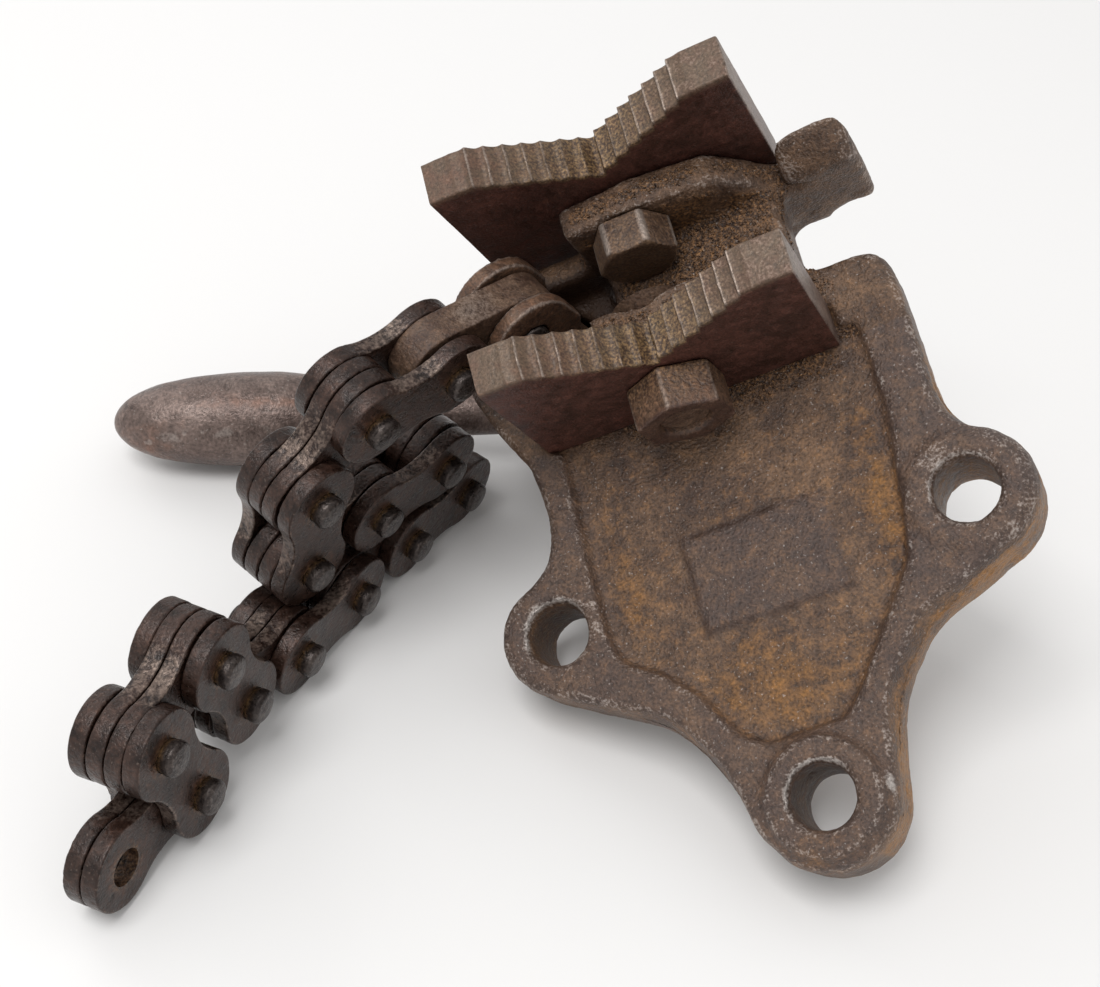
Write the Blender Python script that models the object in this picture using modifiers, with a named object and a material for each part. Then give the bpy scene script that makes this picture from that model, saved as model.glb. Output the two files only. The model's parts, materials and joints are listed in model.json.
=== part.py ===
"""Bench chain pipe vise, lying tilted on a table with its chain piled beside it.

The vise is modelled in its own frame: origin between the two ear holes on top of the flange, +X along
the jaws, +Y away from the toe and +Z out of the flange. An empty tilts that frame until the left ear,
the toe and the lever nut rest on the table. The chain is laid link by link in the table's frame.
"""

import math

import bmesh
import bpy
from mathutils import Matrix, Vector

MM = 0.001
MERGE_DISTANCE = 0.001 * MM

# Stance on the table
TILT = math.radians(38.0)
TABLE_GAP = 0.3 * MM

# Clearances between pieces
SEAT_GAP = 0.3 * MM
OVERRUN = 30.0 * MM

# Flange
EAR_HALF_SPAN = 54.0 * MM
TOE_REACH = 59.5 * MM
LEFT_EAR_RADIUS = 16.0 * MM
RIGHT_EAR_RADIUS = 17.0 * MM
TOE_RADIUS = 17.6 * MM
BENCH_HOLE_RADIUS = 8.0 * MM
HOLE_CHAMFER = 1.2 * MM
FLANGE_THICKNESS = 22.0 * MM
FLANGE_ROUNDING = 2.4 * MM
RECESS_DEPTH = 2.6 * MM
PAD_RISE = 0.8 * MM
RIGHT_BOSS_RISE = 1.5 * MM
TOE_BOSS_RISE = 3.0 * MM
BOSS_RIM = 6.5 * MM
NEAR_HORN_REACH = 54.8 * MM
HORN_ROUNDING = 6.0 * MM

# Outline of the flange between its ears, in shares of the ears' half span
LEFT_WAIST_SHARES = ((-0.76, -0.48), (-0.60, -0.58), (-0.48, -0.76), (-0.39, -0.97), (-0.34, -1.17))
RIGHT_WAIST_SHARES = ((0.35, -1.03), (0.42, -0.81), (0.51, -0.66), (0.66, -0.50), (0.90, -0.39))
LEFT_FLANK_SHARES = (
    (-1.07, 1.76),
    (-1.15, 1.56),
    (-1.15, 1.33),
    (-1.06, 1.09),
    (-0.94, 0.85),
    (-0.93, 0.56),
    (-0.98, 0.38),
)
RIGHT_FLANK_SHARES = ((1.05, 0.36), (1.02, 0.46))
RECESS_SHARES = (
    (-0.75, 0.95),
    (-0.77, 0.27),
    (-0.77, -0.10),
    (-0.73, -0.24),
    (-0.55, -0.36),
    (-0.42, -0.50),
    (-0.30, -0.72),
    (-0.17, -0.81),
    (0.20, -0.80),
    (0.31, -0.67),
    (0.52, -0.39),
    (0.67, -0.21),
    (0.73, 0.12),
    (0.79, 0.54),
    (0.78, 0.95),
)
PAD_WIDTH = 38.0 * MM
PAD_HEIGHT = 26.0 * MM
PAD_CENTRE = (1.8 * MM, 0.5 * MM)

# Walls on either side of the chain slot
SLOT_WIDTH = 23.0 * MM
SLOT_CENTRE_Y = 80.4 * MM
WALL_THICKNESS = 9.5 * MM
WALL_LEFT_X = -20.0 * MM
WALL_CREST = 23.5 * MM
CAST_SKIN = 0.5 * MM
FLANGE_BACK_INSET = 1.0 * MM
HORN_TIP_X = 57.0 * MM
WALL_TOP_SHARES = (
    (-0.35, 0.90),
    (0.0, 1.0),
    (0.20, 0.92),
    (0.37, 0.85),
    (0.50, 0.50),
    (0.60, 0.10),
    (0.68, 0.0),
)

# Web that joins the walls, and the left end of the slot beside it
WEB_LEFT_X = -15.5 * MM
WEB_TOP = 3.0 * MM
WEB_RIGHT_X = 33.0 * MM
WEB_THICKNESS = 20.0 * MM
BOLT_SLOT_LEFT_X = -51.0 * MM

# Far horn and the hooks under both horns
FAR_HORN_LEFT_X = 40.5 * MM
FAR_HORN_TOP = 16.0 * MM
FAR_HORN_FRONT_TOP = 5.0 * MM
FAR_HORN_INSET = 0.6 * MM
HOOK_RADIUS = 6.0 * MM
HOOK_PITCH = 11.2 * MM
HOOK_FIRST_X = 49.5 * MM
HOOK_FIRST_DROP = 26.0 * MM
HOOK_STEP_DROP = 3.4 * MM
HOOK_COUNT = 2

# Deep body behind the flange, which ends in a boss round the draw bolt
BODY_LEFT_X = -55.0 * MM
BODY_RIGHT_X = -4.0 * MM
BODY_SHOULDER_X = 27.0 * MM
BODY_SHOULDER_DROP = 33.0 * MM
BOSS_RADIUS = 20.0 * MM
BOSS_SINK = 4.0 * MM
BODY_INSET = 2.0 * MM

# Jaws
JAW_LENGTH = 80.4 * MM
JAW_THICKNESS = 11.7 * MM
JAW_CENTRE_X = -3.6 * MM
JAW_TOP = 46.9 * MM
NEAR_JAW_FOOT = -2.7 * MM
FAR_JAW_FOOT = -9.3 * MM
VEE_DEPTH = 18.9 * MM
VEE_X = -3.0 * MM
LEFT_LAND = 12.0 * MM
RIGHT_LAND = 10.0 * MM
TOOTH_DEPTH = 1.1 * MM
TOOTH_COUNT = 7
JAW_SEAT_MARGIN = 0.5 * MM

# Jaw bolts and nut
JAW_BOLT_X = -3.6 * MM
JAW_BOLT_Z = 13.5 * MM
JAW_BOLT_RADIUS = 6.35 * MM
JAW_BOLT_CLEARANCE = 0.4 * MM
FAR_HEAD_ACROSS_FLATS = 19.0 * MM
FAR_HEAD_HEIGHT = 10.0 * MM
NEAR_HEAD_RADIUS = 10.8 * MM
NEAR_HEAD_HEIGHT = 4.6 * MM
NUT_ACROSS_FLATS = 22.2 * MM
NUT_HEIGHT = 11.5 * MM
BOLT_END_RECESS = 2.0 * MM
NUT_TURN = math.radians(34.0)

# Draw bolt
BOLT_LEAN = math.radians(5.0)
CLEVIS_TURN = math.radians(25.5)
CLEVIS_PIN_X = -39.6 * MM
CLEVIS_PIN_Z = 15.2 * MM
SHANK_RADIUS = 9.4 * MM
SHANK_CLEARANCE = 1.6 * MM
EYE_RADIUS = 12.6 * MM
EYE_TOTAL = 20.0 * MM
EYE_GAP = 11.2 * MM
FORK_DEPTH = 11.7 * MM
FORK_SHOULDER = 8.0 * MM
FORK_NECK = 13.8 * MM
CLEVIS_PIN_RADIUS = 4.2 * MM
CLEVIS_PIN_HOLE_RADIUS = 4.6 * MM
CLEVIS_PIN_HEAD = 1.2 * MM

# Lever nut
HUB_RADIUS = 15.5 * MM
HUB_TOP = 25.0 * MM
HUB_FOOT = 9.0 * MM
HUB_CHAMFER = 2.0 * MM
NUT_BORE_RADIUS = 9.8 * MM
LEVER_SWING = math.radians(168.5)
LEVER_RISE = math.radians(29.5)
LEVER_REACH = 157.2 * MM
GRIP_LENGTH = 82.0 * MM
GRIP_RADIUS = 14.0 * MM
NECK_RADIUS = 7.2 * MM
LEVER_ROOT_RADIUS = 8.6 * MM
GRIP_SHARES = (
    (0.0, 0.0),
    (0.015, 0.26),
    (0.06, 0.52),
    (0.16, 0.78),
    (0.30, 0.93),
    (0.46, 1.0),
    (0.62, 0.98),
    (0.80, 0.82),
    (0.93, 0.62),
)

# Chain
CHAIN_PITCH = 25.6 * MM
LOBE_RADIUS = 11.3 * MM
WAIST_HALF_WIDTH = 8.4 * MM
PLATE_THICKNESS = 4.2 * MM
PLATE_GAP = 0.75 * MM
CHAIN_PIN_RADIUS = 4.2 * MM
CHAIN_HOLE_RADIUS = 4.75 * MM
PIN_OVERHANG = 4.3 * MM
PIN_DOME = 1.2 * MM
FIRST_LINK_THICKNESS = 8.8 * MM

# How each outer link's pins point in the table's frame: heading and rise of their near ends, in degrees
OUTER_HEADINGS = (
    (-49.0, -11.5),
    (-42.5, -9.5),
    (-41.0, -11.0),
    (-36.0, -8.0),
    (-32.0, -6.0),
    (-27.5, -1.5),
    (-26.5, 3.5),
)
# Direction of each link from pin to pin, in degrees above the horizontal that points right and away
LINK_ANGLES = (
    182.0,
    184.0,
    226.5,
    268.5,
    362.5,
    360.0,
    306.0,
    180.0,
    180.0,
    180.0,
    166.5,
    113.0,
    192.5,
    282.0,
    180.0,
)
# Links that end with a pin lying on the table
LANDING_LINKS = (6, 7, 8, 9, 13, 14)

CURVE_STEPS = 8
ROUND_STEPS = 24
HOLE_STEPS = 16

NEAR_WALL_Y = SLOT_CENTRE_Y - SLOT_WIDTH / 2 - WALL_THICKNESS
SLOT_NEAR_Y = SLOT_CENTRE_Y - SLOT_WIDTH / 2
SLOT_FAR_Y = SLOT_CENTRE_Y + SLOT_WIDTH / 2
FAR_WALL_Y = SLOT_CENTRE_Y + SLOT_WIDTH / 2 + WALL_THICKNESS
LEFT_EAR = Vector((-EAR_HALF_SPAN, 0.0, 0.0))
RIGHT_EAR = Vector((EAR_HALF_SPAN, 0.0, 0.0))
TOE = Vector((0.0, -TOE_REACH, 0.0))

CAST_IRON = ("cast iron", (0.21, 0.12, 0.065), 0.75, 0.55)
JAW_STEEL = ("jaw steel", (0.16, 0.085, 0.065), 0.6, 0.6)
DARK_STEEL = ("dark steel", (0.13, 0.085, 0.065), 0.45, 0.85)
CHAIN_STEEL = ("chain steel", (0.17, 0.12, 0.095), 0.42, 0.9)


def start_scene():
    """Empties the file and makes one collection for the parts and one for the cutters."""
    for item in list(bpy.data.objects):
        bpy.data.objects.remove(item, do_unlink=True)
    for name in ("Pipe vise", "Cutters"):
        bpy.context.scene.collection.children.link(bpy.data.collections.new(name))


def collection(name):
    """Returns a collection by name."""
    return bpy.data.collections[name]


def material(finish):
    """Returns the Principled material of a finish: name, colour, roughness and metallic value."""
    name, colour, roughness, metallic = finish
    made = bpy.data.materials.get(name)
    if made is None:
        made = bpy.data.materials.new(name)
        made.use_nodes = True
        shader = made.node_tree.nodes["Principled BSDF"]
        shader.inputs["Base Color"].default_value = (*colour, 1.0)
        shader.inputs["Roughness"].default_value = roughness
        shader.inputs["Metallic"].default_value = metallic
    return made


def empty(name, parent=None, place=Matrix.Identity(4)):
    """Adds an empty that carries other pieces, at a place in its parent's frame."""
    made = bpy.data.objects.new(name, None)
    collection("Pipe vise").objects.link(made)
    made.parent = parent
    made.matrix_local = place
    return made


def add_object(name, mesh, parent, place=Matrix.Identity(4)):
    """Links a mesh as an object in the parts' collection, at a place in its parent's frame."""
    made = bpy.data.objects.new(name, mesh)
    collection("Pipe vise").objects.link(made)
    made.parent = parent
    made.matrix_local = place
    return made


def finished(piece, finish):
    """Gives a piece its material and smooth shading up to its sharp edges."""
    piece.data.materials.clear()
    piece.data.materials.append(material(finish))
    piece.data.shade_smooth()
    piece.data.set_sharp_from_angle(angle=math.radians(35.0))
    return piece


def as_cutter(piece):
    """Moves a piece to the cutters' collection, so that it is only a tool."""
    collection("Pipe vise").objects.unlink(piece)
    collection("Cutters").objects.link(piece)
    piece.hide_render = True
    piece.display_type = "WIRE"
    return piece


def combine(piece, tool, operation):
    """Adds an exact Boolean modifier that joins a tool to a piece or cuts it away."""
    modifier = piece.modifiers.new(operation.title() + " " + tool.name, "BOOLEAN")
    modifier.operation = operation
    modifier.solver = "EXACT"
    modifier.object = as_cutter(tool)


def bevel(piece, width, segments=2, angle=40.0):
    """Rounds a piece's edges that are sharper than an angle in degrees."""
    modifier = piece.modifiers.new("Rounded edges", "BEVEL")
    modifier.width = width
    modifier.segments = segments
    modifier.limit_method = "ANGLE"
    modifier.angle_limit = math.radians(angle)
    return modifier


def outline_mesh(name, outline, half_thickness, holes=()):
    """Makes a mesh from a flat closed outline, extruded both ways, with round or other holes in it."""
    curve = bpy.data.curves.new(name, "CURVE")
    curve.dimensions = "2D"
    curve.fill_mode = "BOTH"
    curve.extrude = half_thickness
    for loop in (outline, *holes):
        spline = curve.splines.new("POLY")
        spline.points.add(len(loop) - 1)
        for point, place in zip(spline.points, loop):
            point.co = (place[0], place[1], 0.0, 1.0)
        spline.use_cyclic_u = True
    shape = bpy.data.objects.new(name, curve)
    bpy.context.scene.collection.objects.link(shape)
    evaluated = shape.evaluated_get(bpy.context.evaluated_depsgraph_get())
    mesh = bpy.data.meshes.new_from_object(evaluated)
    bpy.data.objects.remove(shape, do_unlink=True)
    bpy.data.curves.remove(curve)
    mesh.name = name
    shell = bmesh.new()
    shell.from_mesh(mesh)
    bmesh.ops.remove_doubles(shell, verts=shell.verts, dist=MERGE_DISTANCE)
    if not holes:
        flat = math.radians(0.1)
        bmesh.ops.dissolve_limit(shell, angle_limit=flat, verts=[], edges=shell.edges)
    bmesh.ops.recalc_face_normals(shell, faces=shell.faces)
    shell.to_mesh(mesh)
    shell.free()
    return mesh


def plan_prism(name, outline, low, high, parent):
    """Adds a prism whose outline lies in X and Y and which runs up from low to high."""
    mesh = outline_mesh(name, outline, (high - low) / 2)
    return add_object(name, mesh, parent, Matrix.Translation((0.0, 0.0, (high + low) / 2)))


def side_prism(name, outline, near, far, parent):
    """Adds a prism whose outline lies in X and Z and which runs along Y from near to far."""
    mesh = outline_mesh(name, outline, (far - near) / 2)
    turn = Matrix.Rotation(math.radians(90.0), 4, "X")
    return add_object(name, mesh, parent, Matrix.Translation((0.0, (near + far) / 2, 0.0)) @ turn)


def end_prism(name, outline, left, right, parent):
    """Adds a prism whose outline lies in Y and Z and which runs along X from left to right."""
    mesh = outline_mesh(name, outline, (right - left) / 2)
    quarter = math.radians(90.0)
    turn = Matrix.Rotation(quarter, 4, "Z") @ Matrix.Rotation(quarter, 4, "X")
    return add_object(name, mesh, parent, Matrix.Translation(((left + right) / 2, 0.0, 0.0)) @ turn)


def box(name, low, high, parent, place=Matrix.Identity(4)):
    """Adds a box between two corners of a place in its parent's frame."""
    bpy.ops.mesh.primitive_cube_add(size=1.0)
    made = bpy.context.object
    made.name = name
    for owner in list(made.users_collection):
        owner.objects.unlink(made)
    collection("Pipe vise").objects.link(made)
    low, high = Vector(low), Vector(high)
    made.data.transform(Matrix.Diagonal((*(high - low), 1.0)))
    made.parent = parent
    made.matrix_local = place @ Matrix.Translation((low + high) / 2)
    return made


def turned(name, profile, parent, place=Matrix.Identity(4), steps=ROUND_STEPS):
    """Adds a turned solid about local Z from (radius, height) pairs that run down its outer side."""
    mesh = bpy.data.meshes.new(name)
    mesh.from_pydata([(radius, 0.0, height) for radius, height in profile], [], [])
    mesh.edges.add(len(profile) - 1)
    for index, edge in enumerate(mesh.edges):
        edge.vertices = (index, index + 1)
    made = add_object(name, mesh, parent, place)
    screw = made.modifiers.new("Turned", "SCREW")
    screw.steps = steps
    screw.render_steps = steps
    screw.use_merge_vertices = True
    screw.merge_threshold = MERGE_DISTANCE
    return made


def cylinder(name, radius, low, high, parent, place=Matrix.Identity(4), steps=ROUND_STEPS):
    """Adds a plain cylinder along local Z from low to high."""
    return turned(name, ((0.0, high), (radius, high), (radius, low), (0.0, low)), parent, place, steps)


def along_y(x, y, z):
    """Returns the place whose local Z points along +Y, for bolts across the slot."""
    return Matrix.Translation((x, y, z)) @ Matrix.Rotation(math.radians(-90.0), 4, "X")


def arc(centre, radius, start, end, steps=CURVE_STEPS):
    """Returns points on an arc between two angles in degrees, both ends included."""
    angles = [math.radians(start + (end - start) * step / steps) for step in range(steps + 1)]
    return [(centre[0] + radius * math.cos(a), centre[1] + radius * math.sin(a)) for a in angles]


def shared(shares, size):
    """Scales a table of shares by the size that they follow."""
    return [(x * size, y * size) for x, y in shares]


def hexagon(across_flats, turn=0.0):
    """Returns a hexagon's corners, with a flat on top when the turn is zero."""
    radius = across_flats / math.sqrt(3.0)
    return [
        (radius * math.cos(math.radians(60.0 * k) + turn), radius * math.sin(math.radians(60.0 * k) + turn))
        for k in range(6)
    ]


def flange_outline():
    """Returns the flange's outline seen from above, before the slot is cut."""
    corner = HORN_ROUNDING
    near_horn = arc((NEAR_HORN_REACH - corner, SLOT_NEAR_Y - corner), corner, 0.0, 90.0, 4)
    back = FAR_WALL_Y - FLANGE_BACK_INSET
    far_horn = arc((HORN_TIP_X - corner, back - corner), corner, 0.0, 90.0, 4)
    points = shared(LEFT_FLANK_SHARES, EAR_HALF_SPAN)
    points += arc(LEFT_EAR, LEFT_EAR_RADIUS, 105.0, 240.0)
    points += shared(LEFT_WAIST_SHARES, EAR_HALF_SPAN)
    points += arc(TOE, TOE_RADIUS, 205.0, 335.0)
    points += shared(RIGHT_WAIST_SHARES, EAR_HALF_SPAN)
    points += arc(RIGHT_EAR, RIGHT_EAR_RADIUS, -80.0, 70.0)
    points += shared(RIGHT_FLANK_SHARES, EAR_HALF_SPAN)
    points += near_horn
    points += [(NEAR_HORN_REACH - corner, SLOT_CENTRE_Y), (HORN_TIP_X, SLOT_CENTRE_Y)]
    points += far_horn
    points += [(BOLT_SLOT_LEFT_X, back)]
    return points


def wall_outline():
    """Returns a tall wall's outline in X and Z: upright at its left end, falling towards the horn."""
    top = [(x * HORN_TIP_X, z * WALL_CREST) for x, z in WALL_TOP_SHARES]
    foot = -FLANGE_THICKNESS / 2
    return [(WALL_LEFT_X, foot), (top[-1][0], foot)] + top[::-1]


def body_outline(seat_drop):
    """Returns the deep body's outline in X and Z, from under the flange down to the nut's seat."""
    floor = CLEVIS_PIN_Z - seat_drop * math.cos(BOLT_LEAN) + BOSS_SINK
    return [
        (BODY_LEFT_X, -FLANGE_THICKNESS / 2),
        (BODY_LEFT_X, (floor - FLANGE_THICKNESS) / 2),
        (CLEVIS_PIN_X - SHANK_RADIUS / 2, floor),
        (BODY_RIGHT_X, floor),
        (BODY_SHOULDER_X, -BODY_SHOULDER_DROP),
        (NEAR_HORN_REACH - HOOK_RADIUS, -FLANGE_THICKNESS),
        (NEAR_HORN_REACH - HOOK_RADIUS, -FLANGE_THICKNESS / 2),
    ]


def horn_outline():
    """Returns the far horn's outline in Y and Z, whose top slopes down towards the slot."""
    back = FAR_WALL_Y - FAR_HORN_INSET
    foot = -FLANGE_THICKNESS / 2
    front = SLOT_FAR_Y - CAST_SKIN
    return [(front, foot), (back, foot), (back, FAR_HORN_TOP), (front, FAR_HORN_FRONT_TOP)]


def make_casting(vise, bolt_frame, seat_drop):
    """Makes the base casting: flange, walls, web, horns and the boss that the lever nut seats on.

    Pieces that are joined overlap by the cast skin or an inset, so that none of their faces lie in one
    plane, and one cut then makes the slot's two faces.
    """
    casting = plan_prism("base_casting", flange_outline(), -FLANGE_THICKNESS, 0.0, vise)
    bevel(casting, FLANGE_ROUNDING)
    for name, near, far in (
        ("near wall", NEAR_WALL_Y - CAST_SKIN, SLOT_NEAR_Y + CAST_SKIN),
        ("far wall", SLOT_FAR_Y - CAST_SKIN, FAR_WALL_Y),
    ):
        combine(casting, side_prism(name, wall_outline(), near, far, vise), "UNION")
    body_near = NEAR_WALL_Y + BODY_INSET
    body = side_prism("deep body", body_outline(seat_drop), body_near, FAR_WALL_Y - BODY_INSET, vise)
    combine(casting, body, "UNION")
    horn = end_prism("far horn", horn_outline(), FAR_HORN_LEFT_X, HORN_TIP_X - FAR_HORN_INSET, vise)
    bevel(horn, FLANGE_ROUNDING)
    combine(casting, horn, "UNION")
    for name, place, radius, rise in (
        ("right boss", RIGHT_EAR, BENCH_HOLE_RADIUS + BOSS_RIM, RIGHT_BOSS_RISE),
        ("toe boss", TOE, BENCH_HOLE_RADIUS + BOSS_RIM, TOE_BOSS_RISE),
    ):
        boss = cylinder(name, radius, -FLANGE_THICKNESS / 2, rise, vise, Matrix.Translation(place))
        combine(casting, boss, "UNION")
    cut_recess(casting, vise)
    cut_slot(casting, vise)
    cut_holes(casting, vise)
    boss = cylinder("nut boss", BOSS_RADIUS, -seat_drop, -seat_drop / 2, bolt_frame)
    combine(casting, boss, "UNION")
    bore_radius = SHANK_RADIUS + SHANK_CLEARANCE
    bore = cylinder("shank bore", bore_radius, -seat_drop - OVERRUN, -seat_drop / 3, bolt_frame)
    combine(casting, bore, "DIFFERENCE")
    return finished(casting, CAST_IRON)


def cut_slot(casting, vise):
    """Cuts the slot from the draw bolt to the horns, puts the web across it and cuts the hooks."""
    half = SLOT_WIDTH / 2
    slot = arc((BOLT_SLOT_LEFT_X + half, SLOT_CENTRE_Y), half, 90.0, 270.0)
    slot += [(HORN_TIP_X + OVERRUN, SLOT_NEAR_Y), (HORN_TIP_X + OVERRUN, SLOT_FAR_Y)]
    combine(casting, plan_prism("slot", slot, -OVERRUN * 4, OVERRUN, vise), "DIFFERENCE")
    buried = WALL_THICKNESS / 2
    web_low = (WEB_LEFT_X, SLOT_NEAR_Y - buried, WEB_TOP - WEB_THICKNESS)
    web = box("web", web_low, (WEB_RIGHT_X, SLOT_FAR_Y + buried, WEB_TOP), vise)
    combine(casting, web, "UNION")
    for step in range(HOOK_COUNT):
        x = HOOK_FIRST_X - step * HOOK_PITCH
        z = -HOOK_FIRST_DROP - step * HOOK_STEP_DROP
        place = along_y(x, SLOT_CENTRE_Y, z)
        hook = cylinder("hook %d" % (step + 1), HOOK_RADIUS, -OVERRUN * 2, OVERRUN * 2, vise, place)
        combine(casting, hook, "DIFFERENCE")


def cut_recess(casting, vise):
    """Sinks the flange's middle round a raised pad, and the near jaw's seat."""
    recess = plan_prism("recess", shared(RECESS_SHARES, EAR_HALF_SPAN), -RECESS_DEPTH, OVERRUN / 2, vise)
    pad_low = (PAD_CENTRE[0] - PAD_WIDTH / 2, PAD_CENTRE[1] - PAD_HEIGHT / 2, -RECESS_DEPTH - OVERRUN / 2)
    pad_high = (PAD_CENTRE[0] + PAD_WIDTH / 2, PAD_CENTRE[1] + PAD_HEIGHT / 2, -RECESS_DEPTH + PAD_RISE)
    combine(recess, box("pad", pad_low, pad_high, vise), "DIFFERENCE")
    combine(casting, recess, "DIFFERENCE")
    half = JAW_LENGTH / 2 + JAW_SEAT_MARGIN
    front = NEAR_WALL_Y - SEAT_GAP - JAW_THICKNESS - JAW_SEAT_MARGIN
    seat_low = (JAW_CENTRE_X - half, front, NEAR_JAW_FOOT - SEAT_GAP)
    seat = box("jaw seat", seat_low, (JAW_CENTRE_X + half, NEAR_WALL_Y, OVERRUN), vise)
    combine(casting, seat, "DIFFERENCE")


def cut_holes(casting, vise):
    """Cuts the three bench holes with chamfered mouths, and the two jaw bolts' holes."""
    for name, place, rise in (
        ("left hole", LEFT_EAR, 0.0),
        ("right hole", RIGHT_EAR, RIGHT_BOSS_RISE),
        ("toe hole", TOE, TOE_BOSS_RISE),
    ):
        wide = BENCH_HOLE_RADIUS + HOLE_CHAMFER + OVERRUN / 2
        profile = (
            (0.0, rise + OVERRUN / 2),
            (wide, rise + OVERRUN / 2),
            (BENCH_HOLE_RADIUS, rise - HOLE_CHAMFER),
            (BENCH_HOLE_RADIUS, -FLANGE_THICKNESS - OVERRUN),
            (0.0, -FLANGE_THICKNESS - OVERRUN),
        )
        combine(casting, turned(name, profile, vise, Matrix.Translation(place)), "DIFFERENCE")
    radius = JAW_BOLT_RADIUS + JAW_BOLT_CLEARANCE
    place = along_y(JAW_BOLT_X, SLOT_CENTRE_Y, JAW_BOLT_Z)
    combine(casting, cylinder("jaw bolt hole", radius, -OVERRUN * 2, OVERRUN * 2, vise, place), "DIFFERENCE")
    sink_depth = NEAR_HEAD_HEIGHT + SEAT_GAP
    top = NEAR_HEAD_RADIUS + SEAT_GAP
    apex = sink_depth * top / (top - radius)
    profile = ((0.0, SEAT_GAP), (top, SEAT_GAP), (top, 0.0), (0.0, -apex))
    sink = turned("countersink", profile, vise, along_y(JAW_BOLT_X, SLOT_NEAR_Y, JAW_BOLT_Z))
    combine(casting, sink, "DIFFERENCE")


def vee_points():
    """Returns the toothed V of a jaw from its left land to its right one, in X and Z."""
    left = Vector((JAW_CENTRE_X - JAW_LENGTH / 2 + LEFT_LAND, JAW_TOP))
    low = Vector((VEE_X, JAW_TOP - VEE_DEPTH))
    right = Vector((JAW_CENTRE_X + JAW_LENGTH / 2 - RIGHT_LAND, JAW_TOP))
    points = []
    for start, end in ((left, low), (low, right)):
        step = (end - start) / TOOTH_COUNT
        inward = Vector((-step.y, step.x)).normalized() * -TOOTH_DEPTH
        for tooth in range(TOOTH_COUNT):
            crest = start + step * tooth
            points += [crest, crest + step / 4 + inward]
    return points + [right]


def make_jaw(name, near, foot, vise):
    """Makes one serrated V jaw plate with its bolt hole."""
    left = JAW_CENTRE_X - JAW_LENGTH / 2
    right = JAW_CENTRE_X + JAW_LENGTH / 2
    outline = [(left, foot), (right, foot), (right, JAW_TOP)]
    outline += [tuple(point) for point in reversed(vee_points())]
    outline += [(left, JAW_TOP)]
    jaw = side_prism(name, outline, near, near + JAW_THICKNESS, vise)
    radius = JAW_BOLT_RADIUS + JAW_BOLT_CLEARANCE
    place = along_y(JAW_BOLT_X, near, JAW_BOLT_Z)
    combine(jaw, cylinder(name + " hole", radius, -OVERRUN, OVERRUN, vise, place), "DIFFERENCE")
    return finished(jaw, JAW_STEEL)


def make_nut(name, low, turn, vise):
    """Makes a hexagon nut on a jaw bolt, with a chamfered outer face towards the way low is reached."""
    radius = JAW_BOLT_RADIUS + SEAT_GAP
    outline = [(JAW_BOLT_X + x, JAW_BOLT_Z + z) for x, z in hexagon(NUT_ACROSS_FLATS, turn)]
    nut = side_prism(name, outline, low, low + NUT_HEIGHT, vise)
    round_radius = NUT_ACROSS_FLATS / 2
    corner = NUT_ACROSS_FLATS / math.sqrt(3.0) + SEAT_GAP
    chamfer = corner - round_radius
    profile = (
        (0.0, NUT_HEIGHT),
        (round_radius, NUT_HEIGHT),
        (corner, NUT_HEIGHT - chamfer / 2),
        (corner, chamfer / 2),
        (round_radius, 0.0),
        (0.0, 0.0),
    )
    barrel = turned(name + " barrel", profile, vise, along_y(JAW_BOLT_X, low, JAW_BOLT_Z))
    combine(nut, barrel, "INTERSECT")
    bore = cylinder(name + " bore", radius, -OVERRUN, OVERRUN, vise, along_y(JAW_BOLT_X, low, JAW_BOLT_Z))
    combine(nut, bore, "DIFFERENCE")
    return finished(nut, DARK_STEEL)


def make_jaw_fastenings(vise):
    """Makes the far jaw's bolt, which ends inside the jaw, and the near jaw's flush bolt with its nut."""
    near_face = NEAR_WALL_Y - SEAT_GAP - JAW_THICKNESS
    make_nut("near_jaw_nut", near_face - SEAT_GAP - NUT_HEIGHT, NUT_TURN, vise)
    far_length = WALL_THICKNESS + JAW_THICKNESS + SEAT_GAP - BOLT_END_RECESS
    near_length = far_length + NUT_HEIGHT + SEAT_GAP
    place = along_y(JAW_BOLT_X, SLOT_FAR_Y, JAW_BOLT_Z)
    foot = -SEAT_GAP - FAR_HEAD_HEIGHT / 2
    far_bolt = cylinder("far_jaw_bolt", JAW_BOLT_RADIUS, foot, far_length, vise, place)
    head_outline = [(JAW_BOLT_X + x, JAW_BOLT_Z + z) for x, z in hexagon(FAR_HEAD_ACROSS_FLATS)]
    head_face = SLOT_FAR_Y - SEAT_GAP
    head = side_prism("far bolt head", head_outline, head_face - FAR_HEAD_HEIGHT, head_face, vise)
    combine(far_bolt, head, "UNION")
    finished(far_bolt, DARK_STEEL)
    profile = (
        (0.0, 0.0),
        (NEAR_HEAD_RADIUS, 0.0),
        (JAW_BOLT_RADIUS, -NEAR_HEAD_HEIGHT),
        (JAW_BOLT_RADIUS, -near_length),
        (0.0, -near_length),
    )
    place = along_y(JAW_BOLT_X, SLOT_NEAR_Y, JAW_BOLT_Z)
    finished(turned("near_jaw_bolt", profile, vise, place), DARK_STEEL)


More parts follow.
